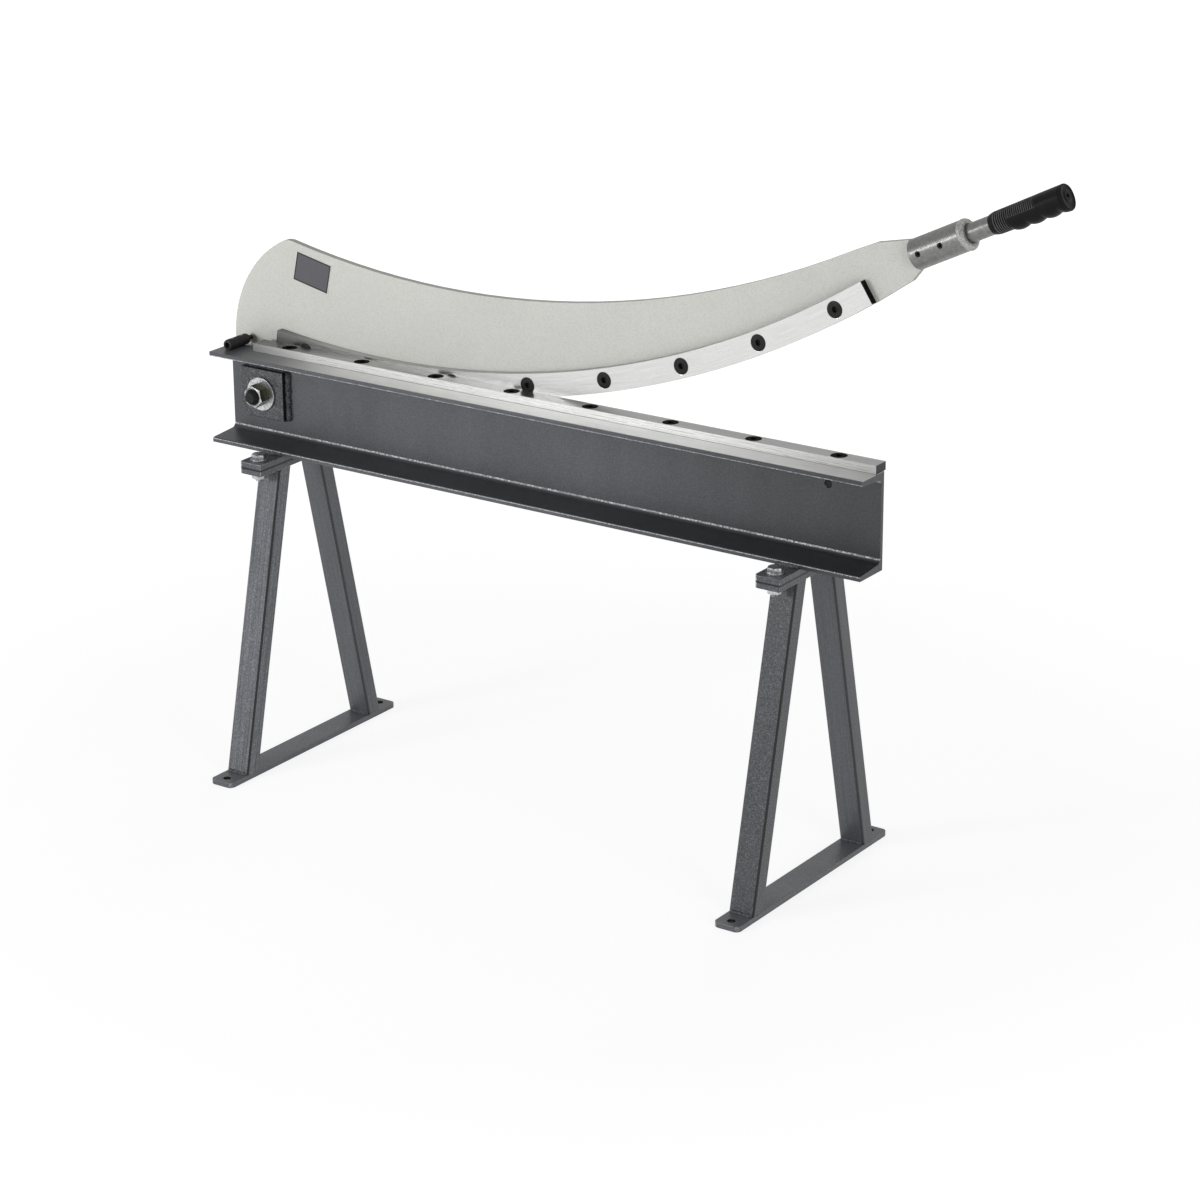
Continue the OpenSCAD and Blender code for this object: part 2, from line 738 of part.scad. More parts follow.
module moving_blade_screws() {
  nut_t = blade_screw_d * hex_nut_share;
  color([0.10, 0.10, 0.10])
  at_moving_screws() blade_screw(blade_t + arm_t + nut_t + blade_screw_d / 6);
}

module moving_blade_nuts() {
  color([0.72, 0.72, 0.70])
  at_moving_screws() translate([0, 0, blade_t + arm_t])
    nut(blade_screw_d, blade_screw_d * hex_af_share, blade_screw_d * hex_nut_share);
}

// Places its children at the grub screws, with z running out from the socket's axis to the front
module at_grub_screws() {
  for (i = [0, 1])
    along_handle() translate([0, 0, grub_inset + i * grub_pitch]) rotate([90, 0, -grub_tilt])
      children();
}

module handle_socket() {
  bore_l = tongue_l + overrun;
  color([0.66, 0.66, 0.64])
  difference() {
    along_handle() cylinder(d = socket_d, h = socket_l);
    along_handle() translate([0, 0, -overrun]) cylinder(d = socket_bore_d, h = bore_l + overrun);
    along_handle() cylinder(d = rod_d + 2 * fit_gap, h = socket_l + overrun);
    at_grub_screws() cylinder(d = grub_d + 2 * fit_gap, h = socket_d);
  }
}

module socket_grub_screws() {
  tip = (arm_t / 2 + fit_gap + grub_d / 2 * sin(grub_tilt)) / cos(grub_tilt);
  color([0.30, 0.30, 0.30])
  at_grub_screws() translate([0, 0, tip]) set_screw(grub_d, socket_d / 2 - tip - grub_d / 8);
}

module handle_rod() {
  color([0.70, 0.70, 0.68])
  along_handle() translate([0, 0, rod_start]) cylinder(d = rod_d, h = grip_wall_end - rod_start);
}

// Round grip with a tapered start, a collar at its end and finger bumps underneath, the last one cut
// off by the end
module rubber_grip() {
  r = grip_d / 2;
  collar_r = grip_collar_d / 2;
  color([0.07, 0.07, 0.07])
  difference() {
    along_handle() {
      rotate_extrude() polygon([
        [0, grip_start], [r * grip_start_share, grip_start], [r, grip_start + r * grip_taper_share],
        [r, grip_end - r * grip_collar_shares[0]], [collar_r, grip_end - r * grip_collar_shares[1]],
        [collar_r, grip_end - r * grip_collar_shares[2]],
        [collar_r - r * grip_collar_shares[2], grip_end], [0, grip_end]
      ]);
      for (i = [0:grip_bumps - 1])
        translate([bump_drop, 0, bump_last - i * bump_pitch]) sphere(bump_r);
    }
    along_handle() cylinder(d = rod_d + 2 * fit_gap, h = grip_wall_end);
    along_handle() cylinder(d = rod_d / 4, h = grip_end + overrun);
    along_handle() translate([0, 0, grip_end]) cylinder(d = 2 * grip_collar_d, h = 2 * bump_r);
  }
}

module rating_plate() {
  color([0.20, 0.20, 0.21])
  at_pivot() upright(arm_front_y - rating_t, arm_front_y)
    translate(left_c + left_r * rating_shares) rotate(rating_a)
      square([rating_l, rating_h], center = true);
}

foot_plate(-1);  // foot_plate_left
foot_plate(1);  // foot_plate_right
leg(-1, true);  // front_leg_left
leg(1, true);  // front_leg_right
leg(-1, false);  // rear_leg_left
leg(1, false);  // rear_leg_right
joint_plate(-1, leg_top_z);  // lower_joint_plate_left
joint_plate(1, leg_top_z);  // lower_joint_plate_right
joint_plate(-1, joint_z);  // upper_joint_plate_left
joint_plate(1, joint_z);  // upper_joint_plate_right
joint_bolts();
joint_washers();
joint_nuts();
beam();
pivot_plate();
fixed_blade();
fixed_blade_screws();
pivot_bolt();
pivot_washer(pivot_nut_y);  // pivot_washer_front
pivot_washer(arm_back_y + side_gap);  // pivot_washer_rear
pivot_nut();
pivot_spacer();
adjuster_boss();
adjusting_screw();
adjuster_lock_screws();
arm_stop_pin();
arm_plate();
moving_blade();
moving_blade_screws();
moving_blade_nuts();
handle_socket();
socket_grub_screws();
handle_rod();
rubber_grip();
rating_plate();
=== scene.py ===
"""Dresses a floor-standing lever shear: hammered grey enamel on the stand, pale powder coat on the arm,
ground steel blades, zinc and black fasteners, and a ribbed rubber grip. Everything is in metres, with
+X from the pivot to the handle, -Y towards the user and +Z up."""

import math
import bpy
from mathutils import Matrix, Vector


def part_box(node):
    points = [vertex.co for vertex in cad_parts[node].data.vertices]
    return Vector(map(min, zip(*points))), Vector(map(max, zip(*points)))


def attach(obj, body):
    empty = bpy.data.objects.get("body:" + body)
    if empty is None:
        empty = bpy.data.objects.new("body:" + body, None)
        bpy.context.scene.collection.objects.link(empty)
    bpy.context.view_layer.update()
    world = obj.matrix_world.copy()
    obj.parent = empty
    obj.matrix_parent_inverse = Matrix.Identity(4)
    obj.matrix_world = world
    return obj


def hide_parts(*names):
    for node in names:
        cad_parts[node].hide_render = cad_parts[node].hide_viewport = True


bl_info = {
    "name": "Lever shear",
    "version": (1, 0, 0),
    "blender": (4, 5, 0),
    "location": "3D View > Sidebar > Lever shear",
    "description": "Finishes, welds, fasteners and grip of a floor-standing lever shear",
    "category": "Object",
}

from functools import partial

import bpy
import numpy as np
from mathutils import Matrix, Vector

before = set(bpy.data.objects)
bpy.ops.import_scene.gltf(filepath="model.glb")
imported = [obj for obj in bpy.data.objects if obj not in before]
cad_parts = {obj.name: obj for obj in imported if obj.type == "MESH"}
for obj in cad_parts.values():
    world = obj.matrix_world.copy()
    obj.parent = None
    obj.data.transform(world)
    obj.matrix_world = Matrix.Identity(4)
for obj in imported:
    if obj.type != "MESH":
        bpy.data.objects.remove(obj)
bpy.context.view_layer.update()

MM = 0.001
TAU = 2 * math.pi
WHITE = (1, 1, 1, 1)
ALONG_X, ALONG_Y, ALONG_Z = np.eye(3)
STAND, LEVER = "stand", "lever"
# The rays that see the background; the others only light the object
SEEING_RAYS = ("Is Camera Ray", "Is Glossy Ray", "Is Transmission Ray")


def span(node):
    """Lowest and highest corner of a CAD node, as arrays."""
    low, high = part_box(node)
    return np.array(low), np.array(high)


def middle(node):
    """Centre of a CAD node's box."""
    return sum(span(node)) / 2


# Places that several pieces share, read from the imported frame
PIVOT = middle("pivot_washer_front") * [1, 0, 1]
FEET_X = [middle("foot_plate_left")[0], middle("foot_plate_right")[0]]
BEAM_LOW, BEAM_HIGH = span("beam")
ARM_MID_Y = middle("arm_plate")[1]
# Unit vector along the handle, and the one square to it in the arm's plane
HANDLE_A = math.radians(26.378)
ALONG = np.array([math.cos(HANDLE_A), 0, math.sin(HANDLE_A)])
ACROSS = np.array([-math.sin(HANDLE_A), 0, math.cos(HANDLE_A)])
# Point on the handle's axis from which its pieces are measured
SOCKET = np.array([584.85 * MM, ARM_MID_Y, 912.82 * MM])
# Centre and radius of the arc on which the moving blade's screws lie
ARC = np.array([-277.3 * MM, 2083.1 * MM])
SCREW_ARC_R = 1464.55 * MM
# Angle of its first screw from straight down, and the turn from each screw to the next
FIRST_SCREW, SCREW_TURN = math.radians(-5.998), math.radians(5.2816)
BLADE_SCREWS = 8
# Radius of a blade screw's head as the CAD has it, and the distance between those of the straight blade
HEAD_R, SCREW_PITCH = 12 * MM, 135 * MM
# Radius, thread pitch and width across flats of the bolts and nuts
M12 = (6 * MM, 1.75 * MM, 19 * MM)
M20 = (10 * MM, 2.5 * MM, 30 * MM)
JOINT_BOLT_Y = 83 * MM
FLOOR_HOLE_Y, FLOOR_HOLE_R = 185 * MM, 5.5 * MM
# Depth of a leg tube where it is cut level
LEG_DEPTH = 26.64 * MM
# How far a leg leans inwards for each metre up
LEG_LEAN = 0.22354
# Right end of the stretch over which painted shade darkens the beam's web and painted reflection
# changes the tone of its milled top
TONE_END = 560 * MM


def linear(colour):
    """sRGB hex value as linear red, green, blue and alpha."""
    s = np.array([int(colour[i:i + 2], 16) for i in (1, 3, 5)]) / 255
    return (*np.where(s <= 0.04045, s / 12.92, ((s + 0.055) / 1.055) ** 2.4).tolist(), 1.0)


def swatch(name, description, colour):
    """Colour setting whose default is an sRGB hex value."""
    return bpy.props.FloatVectorProperty(name=name, description=description, subtype="COLOR", size=4,
                                         min=0, max=1, default=linear(colour))


def distance(name, description, default):
    """Size setting in metres."""
    return bpy.props.FloatProperty(name=name, description=description, default=default,
                                   unit="LENGTH", subtype="DISTANCE")


class ShearSizes(bpy.types.PropertyGroup):
    """Sizes of the details that the scene adds."""

    edge_round: distance("Edge rounding", "Rounding of painted and machined edges", 0.7 * MM)
    weld_r: distance("Weld bead", "Radius of the weld beads at the legs", 3.2 * MM)
    plate_weld_r: distance("Pivot plate weld", "Radius of the weld beads round the pivot plate", 6 * MM)
    weld_pitch: distance("Weld ripple", "Distance between the ripples of a weld bead", 3.5 * MM)
    rib_pitch: distance("Rib pitch", "Distance between the ribs of the grip", 3.2 * MM)
    rib_depth: distance("Rib depth", "Depth of the grooves between the ribs", 1.3 * MM)
    bump_pitch: distance("Finger pitch", "Distance between the finger bumps", 24.3 * MM)
    bump_rise: distance("Finger bump", "How far a finger bump stands out from the grip", 3.4 * MM)


class ShearColours(bpy.types.PropertyGroup):
    """Colours of the finishes."""

    enamel: swatch("Stand enamel", "Hammered enamel of the stand", "#5C5E63")
    enamel_pit: swatch("Enamel pits", "Enamel in the pits of its hammered pattern", "#27292D")
    enamel_top: swatch("Enamel tops", "Enamel on the tops of its hammered pattern", "#9B9EA4")
    # Painted highlight: bright specks along the enamel's edges
    enamel_highlight: swatch("Enamel specks", "Bright specks along its edges", "#E8EBEE")
    arm: swatch("Arm", "Powder coat of the arm", "#CFD0CA")
    # Painted shade on the arm's edge faces
    arm_edge_shade: swatch("Arm edge", "Powder coat on the arm's edge", "#ABACA4")
    blade: swatch("Blade", "Ground tool steel", "#D4D4D3")
    # Painted reflection: the darker tone of the curved blade's left part
    blade_dark_reflection: swatch("Blade, dull", "Ground tool steel where it is dull", "#7C7C7A")
    # Painted reflection: the darker tone of a blade's top
    blade_top: swatch("Blade top", "Ground tool steel on a blade's top", "#B9B9B8")
    # The brightest tone of the milled strip, which painted reflection darkens towards its ends
    strip: swatch("Machined strip", "Milled steel on the beam's top", "#F2F2F0")
    turned: swatch("Turned steel", "Turned steel of the socket and rod", "#8E8E8D")
    zinc: swatch("Zinc", "Zinc plate", "#CDD0D2")
    zinc_dull: swatch("Zinc, dull", "Zinc plate where it is dull", "#96999C")
    nut_flat: swatch("Nut flats", "Yellowed zinc on the flats of the pivot nut", "#55553F")
    black: swatch("Black oxide", "Black oxide on steel", "#161617")
    rubber: swatch("Rubber", "Rubber of the grip", "#0A0A0B")
    # The lighter grey on the tops of the grip's ribs
    rubber_rib: swatch("Rubbed rubber", "Rubber on the tops of the ribs", "#646466")
    plate: swatch("Rating plate", "Bare rating plate", "#55555A")


# Surfaces


def ring_faces(rows, columns, loop=False):
    """Quads between neighbouring rows of a grid whose columns close on themselves, facing outwards when
    the rows run along an axis and the columns run anticlockwise about it. With loop, the last row
    joins the first."""
    i = np.arange(rows if loop else rows - 1)[:, None] * columns
    j = np.arange(columns)[None, :]
    k = (j + 1) % columns
    up = (i + columns) % (rows * columns)
    return np.stack([i + j, i + k, up + k, up + j], axis=-1).reshape(-1, 4).tolist()


def shell(points, loop=False):
    """Vertices and faces of a grid of points, shaped rows, columns, 3. Without loop, the first and last
    rows are closed with a flat face each."""
    rows, columns = points.shape[:2]
    faces = ring_faces(rows, columns, loop=loop)
    if not loop:
        faces.append(list(range(columns))[::-1])
        faces.append(list(range((rows - 1) * columns, rows * columns)))
    return points.reshape(-1, 3), faces


def joined(shells):
    """Several shells as one list of vertices and one of faces."""
    verts, faces, first = [], [], 0
    for points, quads in shells:
        verts.append(points)
        faces += [[first + v for v in face] for face in quads]
        first += len(points)
    return np.concatenate(verts), faces


def round_grid(radius, along, columns):
    """Points at a radius about z and a height along it. Both may be one value a row, or one a point:
    x = r cos t, y = r sin t, z = along."""
    t = np.arange(columns) / columns * TAU
    r = np.asarray(radius, float).reshape(len(radius), -1) * np.ones(columns)
    z = np.asarray(along, float).reshape(len(along), -1) * np.ones(columns)
    return np.stack([r * np.cos(t), r * np.sin(t), z], axis=-1)


def window(along, start, stop):
    """1 between two places and 0 beyond them, rising and falling over 1 mm inside."""
    return np.clip((along - start) / (1 * MM), 0, 1) * np.clip((stop - along) / (1 * MM), 0, 1)


def placed(points, origin, axis, side):
    """Points given along x, y and z, moved so that z runs along axis and x along side."""
    axis, side = np.asarray(axis, float), np.asarray(side, float)
    return np.asarray(origin) + points @ np.stack([side, np.cross(axis, side), axis])


def hexagon(across, columns):
    """Radius of a hexagon at each column's angle, which is half the width across flats over the cosine
    of the angle to the nearest flat's middle, the radius of its round top, and how far down a cone of
    30 degrees from that top cuts the hexagon there."""
    t = np.arange(columns) / columns * TAU
    six = across / 2 / np.cos((t + math.pi / 6) % (math.pi / 3) - math.pi / 6)
    top = 0.475 * across * np.ones(columns)
    return six, top, (six - top) * math.tan(math.pi / 6)


def hex_head(across, height, columns=96):
    """Bolt head: a hexagon whose top corners are cut by a cone of 30 degrees, so each side's upper edge
    is the curve where the two radii meet."""
    six, top, cut = hexagon(across, columns)
    one = np.ones(columns)
    radius = np.stack([six * 0.995, six, six, top])
    along = np.stack([0 * one, 0.03 * height * one, height - cut, height * one])
    return round_grid(radius, along, columns)


def hex_nut(across, height, hole, columns=96):
    """Nut: a hexagon cut by a cone at both ends, round a countersunk hole, as one closed loop."""
    six, top, cut = hexagon(across, columns)
    one = np.ones(columns)
    sink = 0.08 * across
    radius = np.stack([hole * one, (hole + sink) * one, top, six, six, top, (hole + sink) * one,
                       hole * one])
    along = np.stack([sink * one, 0 * one, 0 * one, cut, height - cut, height * one,
                      height * one, (height - sink) * one])
    return round_grid(radius, along, columns)


def thread_rows(radius, pitch, start, stop, rows, columns, depth):
    """Radius and height of each point of a thread: the radius falls by a share of the pitch and rises
    again once a pitch along a helix, and a cone of 45 degrees cuts the end."""
    z = np.linspace(start, stop, rows)[:, None] * np.ones(columns)
    phase = (z / pitch - np.arange(columns) / columns) % 1
    r = radius - depth * pitch * (1 - np.abs(2 * phase - 1))
    return np.minimum(r, radius - 0.9 * pitch + (stop - z)), z


def thread(radius, pitch, stop, columns=48):
    """Threaded end of a bolt, from its head to stop."""
    rows = max(4, int(stop / pitch * 8))
    return round_grid(*thread_rows(radius, pitch, 0, stop, rows, columns, 0.55), columns)


def socket_screw(radius, head_r, length, key, key_depth, pitch, columns=72):
    """Countersunk screw along z, head top at z = 0: from the floor of its key socket up the hexagonal
    wall, over the face and its rounded rim, down the cone and along the threaded shank."""
    six = hexagon(key, columns)[0]
    one = np.ones(columns)
    rim = 0.5 * MM
    face = np.stack([0.2 * six, six, six, six + 0.4 * MM, one * (head_r - rim),
                     one * (head_r - 0.3 * rim), one * head_r, one * radius])
    down = np.stack([key_depth * 1.1 * one, key_depth * one, 0.5 * MM * one, 0 * one, 0 * one,
                     0.3 * rim * one, rim * one, (head_r - radius) * one])
    plain = 0.55 * length
    r, z = thread_rows(radius, pitch, plain, length, int((length - plain) / pitch * 6), columns, 0.5)
    radius_rows = np.concatenate([face, one[None] * radius, r])
    along = np.concatenate([down, one[None] * (plain - 0.3 * MM), z])
    return round_grid(radius_rows, along, columns)


def bead(start, stop, radius, pitch, seed, lean=(0, 0, 1), columns=14):
    """Weld bead from start to stop: a tube whose radius swells and drops once a ripple, wanders by
    smooth noise and closes with round ends. Its ripples are crescents, as the ring lags behind on the
    side away from lean."""
    start, stop, lean = (np.asarray(v, float) for v in (start, stop, lean))
    way = stop - start
    length = np.linalg.norm(way)
    way = way / length
    lean = lean - way * (lean @ way)
    lean = lean / np.linalg.norm(lean)
    side = np.cross(way, lean)
    rows = max(12, int(length / pitch * 7))
    u = np.linspace(0, 1, rows)[:, None]
    t = (np.arange(columns) / columns * TAU)[None, :]
    places = 24
    knots = np.random.default_rng(seed).uniform(-1, 1, (4, places))
    drift = [np.interp(u[:, 0] * (places - 1), np.arange(places), k)[:, None] for k in knots]
    lag = 0.35 * (1 - np.cos(t))
    phase = (u * length / pitch + lag + 0.25 * drift[0]) % 1
    ripple = 1 + 0.16 * (phase - 0.5) + 0.1 * drift[1]
    past = np.clip(np.abs(2 * u - 1) * length / 2 - length / 2 + radius, 0, None)
    ends = np.sqrt(np.clip(1 - past ** 2 / radius ** 2, 0.02, 1))
    r = radius * ripple * ends
    line = (start + way * length * u + lean * (0.06 * radius * drift[2])
            + side * 0.12 * radius * drift[3])
    out = lean[None, None] * np.cos(t)[..., None] + side[None, None] * np.sin(t)[..., None]
    return shell(line[:, None, :] + r[..., None] * out)


# Objects


def piece(name, body, material, surface, replaces=(), sharp=35, marks=None):
    """Makes a mesh object from vertices and faces, smooth but for edges sharper than an angle, and
    hangs it on a body of the frame. marks are its groove attribute, one value a vertex."""
    verts, faces = surface
    mesh = bpy.data.meshes.new(name)
    mesh.from_pydata(verts.tolist(), [], faces)
    mesh.validate()
    mesh.materials.append(material)
    mesh.shade_smooth()
    mesh.set_sharp_from_angle(angle=math.radians(sharp))
    if marks is not None:
        attribute = mesh.attributes.new("groove", "FLOAT", "POINT")
        attribute.data.foreach_set("value", marks.astype(np.float32).ravel())
    made = bpy.data.objects.new(name, mesh)
    bpy.context.scene.collection.objects.link(made)
    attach(made, body)
    if replaces:
        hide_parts(*replaces)
    return made


def finish_node(node, material, width, segments=2):
    """Gives a CAD node its material, and rounds its edges without touching its mesh: its triangles are
    welded, flat ones are merged, edges sharper than 30 degrees are bevelled, and large faces keep
    their normals."""
    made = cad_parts[node]
    made.data.materials.clear()
    made.data.materials.append(material)
    if width:
        weld = made.modifiers.new("Weld", "WELD")
        weld.merge_threshold = 0.005 * MM
        flat = made.modifiers.new("Flat faces", "DECIMATE")
        flat.decimate_type = "DISSOLVE"
        flat.angle_limit = math.radians(0.05)
        bevel = made.modifiers.new("Rounded edges", "BEVEL")
        bevel.width = width
        bevel.segments = segments
        bevel.limit_method = "ANGLE"
        bevel.angle_limit = math.radians(30)
        bevel.use_clamp_overlap = True
        normals = made.modifiers.new("Normals", "WEIGHTED_NORMAL")
        normals.keep_sharp = True
    return made


# Materials


def add_node(tree, kind, out=0, stops=(), **values):
    """Adds a node and gives back one of its outputs. A kind may name its operation after a dot. Each
    value is a property of the node or one of its sockets, by name with blanks as underscores, or in0,
    in1 by number, and a socket takes a constant or another node's output. stops are the places of a
    ramp, each with a colour, an sRGB hex value or a grey."""
    kind, _, operation = kind.partition(".")
    node = tree.nodes.new("ShaderNode" + kind)
    if operation:
        node.operation = operation
    for key, value in values.items():
        if hasattr(node, key):
            setattr(node, key, value)
            continue
        number = key[2:] if key.startswith("in") else ""
        socket = node.inputs[int(number) if number.isdigit() else key.replace("_", " ")]
        if isinstance(value, bpy.types.NodeSocket):
            tree.links.new(value, socket)
        else:
            socket.default_value = value
    for i, (place, colour) in enumerate(stops):
        if i > 1:
            node.color_ramp.elements.new(place)
        if isinstance(colour, str):
            colour = linear(colour)
        grey = not hasattr(colour, "__len__")
        node.color_ramp.elements[i].position = place
        node.color_ramp.elements[i].color = (colour, colour, colour, 1) if grey else tuple(colour)
    return node.outputs[out] if node.outputs else node


def new_material(name):
    """Empty material, the function that adds nodes to it, and where a point lies on the object."""
    material = bpy.data.materials.new(name)
    material.use_nodes = True
    material.node_tree.nodes.clear()
    add = partial(add_node, material.node_tree)
    return material, add, add("TexCoord", "Object")


def facing(add):
    """How far a surface faces along x, y and z, either way."""
    normal = add("VectorMath.ABSOLUTE", in0=add("TexCoord", "Normal"))
    return [add("SeparateXYZ", i, Vector=normal) for i in range(3)]


def largest(add, value, *others):
    """The largest of several values."""
    for other in others:
        value = add("Math.MAXIMUM", in0=value, in1=other)
    return value


def between(add, value, low, high):
    """1 where a value lies between two others."""
    return add("Math.MULTIPLY", in0=add("Math.GREATER_THAN", in0=value, in1=low),
               in1=add("Math.LESS_THAN", in0=value, in1=high))


def beside(add, value, place, full, none):
    """1 up to one distance from a place, falling to 0 at another distance."""
    off = add("Math.ABSOLUTE", in0=add("Math.SUBTRACT", in0=value, in1=place))
    return add("MapRange", Value=off, From_Min=full, From_Max=none, To_Min=1.0, To_Max=0.0)


def coated(add, colour, *coats):
    """A colour under coats, each given as its share and its own colour."""
    for share, coat in coats:
        colour = add("Mix", 2, data_type="RGBA", in0=share, in6=colour, in7=coat)
    return colour


def mottled(add, colour, *patterns):
    """A colour multiplied by patterns, each given as a value and the stops of its ramp."""
    for value, stops in patterns:
        colour = add("Mix", 2, data_type="RGBA", blend_type="MULTIPLY", in0=1.0, in6=colour,
                     in7=add("ValToRGB", Fac=value, stops=stops))
    return colour


def shade_with(add, colour, value, rough, relief, depth, **more):
    """Ends a material with its shader. Its roughness goes from the first of two to the second as a
    value rises, and relief stands out by a depth."""
    add("OutputMaterial", Surface=add(
        "BsdfPrincipled", Base_Color=colour, Normal=add("Bump", Height=relief, Distance=depth),
        Roughness=add("ValToRGB", Fac=value, stops=((0.3, rough[0]), (0.7, rough[1]))), **more))


def hammered_enamel(name, colours, grain=2.4 * MM, contrast=0.4, depth=0.08 * MM, shade=1.0,
                    edges=0.85, leg=0.0, streaks=0.0, black_sides=False, line=None, holes=False,
                    channel=False):
    """Hammered enamel, sprayed and stoved: glossy, with small pits that hold darker paint, broad clouds
    where it ran thick, and painted highlights as bright specks along its edges. shade multiplies the
    colour as painted light or shade, making a part lighter or darker than others of the same paint.
    leg puts painted shade on the corners on a leg's right side, and streaks run along it as on a
    brushed tube. The option for black sides makes the faces that look neither ahead nor behind black
    with painted shade. line is the height of a gap filled with painted shade. With holes, painted
    shade makes the floor holes black. With channel, the beam's top in front of the blade is milled
    bare, with painted reflection along it, and painted shade darkens its web towards the right and
    its lower flange's inside, under painted highlights on the fillet above."""
    material, add, point = new_material(name)
    x, y, z = (add("SeparateXYZ", i, Vector=point) for i in range(3))
    sides = facing(add)
    rounded = add("ValToRGB", Fac=largest(add, *sides), stops=((0.9, 1), (0.975, 0)))
    pits = add("TexNoise", Vector=point, Scale=1 / grain, Detail=2.0, Roughness=0.55)
    clouds = add("TexNoise", Vector=add("Mapping", Vector=point, Scale=(1, 1, 0.35)),
                 Scale=1 / (70 * MM), Detail=2.0)
    # Specks of painted highlight: those on the real edges are about 1 mm, these are 1.8 mm so that they
    # show
    specks = add("TexNoise", Vector=point, Scale=1 / (1.8 * MM), Detail=3.0, Roughness=0.6)
    specks = add("ValToRGB", Fac=specks, stops=((0.47, 0.12), (0.58, 1)))
    pitted = add("ValToRGB", Fac=pits, stops=((0.34, colours.enamel_pit), (0.52, colours.enamel),
                                              (0.72, colours.enamel_top)))
    colour = coated(add, colours.enamel, (contrast, pitted))
    # Painted light or shade over the whole part, lighter or darker than others of the same paint
    colour = add("Mix", 2, data_type="RGBA", blend_type="MULTIPLY", in0=1.0, in6=colour,
                 in7=(shade, shade, shade, 1))
    # black is the colour of the painted shade below, on corners, sides, gaps and holes
    patterns, coats, black = [(clouds, ((0.3, 0.82), (0.7, 1)))], [], linear("#050506")
    if streaks:
        # Across the leg and into it; the way into it leans with the leg
        into = add("Math.MULTIPLY_ADD", in0=z, in1=LEG_LEAN, in2=add("Math.ABSOLUTE", in0=y))
        drawn = add("TexNoise", Scale=1 / (2.2 * MM), Detail=3.0, Roughness=0.6, Vector=add(
            "CombineXYZ", X=x, Y=into, Z=add("Math.MULTIPLY", in0=z, in1=0.015)))
        patterns.append((drawn, ((0.36, 1 - streaks), (0.56, 1))))
    if channel:
        # Painted shade: the beam darkens towards its right end, and a little at its left end
        along = add("MapRange", Value=x, From_Min=-0.5, From_Max=TONE_END)
        patterns.append((along, ((0, 0.86), (0.35, 1), (0.55, 0.96), (0.75, 0.7), (1, 0.48))))
        # Painted shade darkens the lower flange's inside, and painted highlights lie on the fillet
        # above it up to the web
        bottom, bend, web = (BEAM_LOW[2] + rise * MM for rise in (2, 6, 20))
        inner = between(add, z, bottom, web)
        level = add("ValToRGB", Fac=sides[2], stops=((0.42, 0), (0.6, 1)))
        patterns.append((add("Math.MULTIPLY", in0=inner, in1=level), ((0, 1), (1, 0.46))))
        slope = add("ValToRGB", Fac=sides[2], stops=((0.02, 0), (0.05, 1), (0.34, 1), (0.45, 0)))
        beyond = add("Math.SUBTRACT", in0=1.0, in1=between(add, z, bend, web))
        rounded = largest(add, add("Math.MULTIPLY", in0=inner, in1=slope),
                          add("Math.MULTIPLY", in0=rounded, in1=beyond))
    if edges:
        # Painted highlights: bright specks on rounded edges, and on the beam's fillet
        highlight_share = add("Math.MULTIPLY", in0=specks, in1=edges)
        coats.append((add("Math.MULTIPLY", in0=rounded, in1=highlight_share), colours.enamel_highlight))
    if leg:
        # Painted shade on a corner, which faces partly right: neither ahead nor straight to the right
        right = add("SeparateXYZ", 0, Vector=add("TexCoord", "Normal"))
        corner = between(add, right, 0.12, 0.985)
        coats.append((add("Math.MULTIPLY", in0=corner, in1=leg), black))
    if black_sides:
        # Painted shade: the faces that look neither ahead nor behind are black
        sideways = add("Math.LESS_THAN", in0=sides[1], in1=0.7)
        coats.append((add("Math.MULTIPLY", in0=sideways, in1=0.96), black))
    if line is not None:
        # Painted shade filling the gap at that height, between the joint plates
        coats.append((beside(add, z, line, 1.1 * MM, 1.6 * MM), black))
    if holes:
        # Painted shade makes the walls of the floor holes black
        at = add("CombineXYZ", X=add("Math.ABSOLUTE", in0=x), Y=add("Math.ABSOLUTE", in0=y))
        far = add("VectorMath.DISTANCE", "Value", in0=at, in1=(FEET_X[1], FLOOR_HOLE_Y, 0))
        coats.append((add("Math.LESS_THAN", in0=far, in1=FLOOR_HOLE_R + 0.6 * MM), black))
    colour = coated(add, mottled(add, colour, *patterns), *coats)
    bare, relief = 0.0, pits
    if channel:
        colour, bare = milled_strip(add, colours, point, x, y, colour)
        painted = add("Math.SUBTRACT", in0=1.0, in1=bare)
        relief = add("Math.MULTIPLY", in0=pits, in1=painted)
        bare = add("Math.MULTIPLY", in0=bare, in1=0.3)
    shade_with(add, colour, pits, (0.46, 0.32), relief, depth, Metallic=bare)
    return material


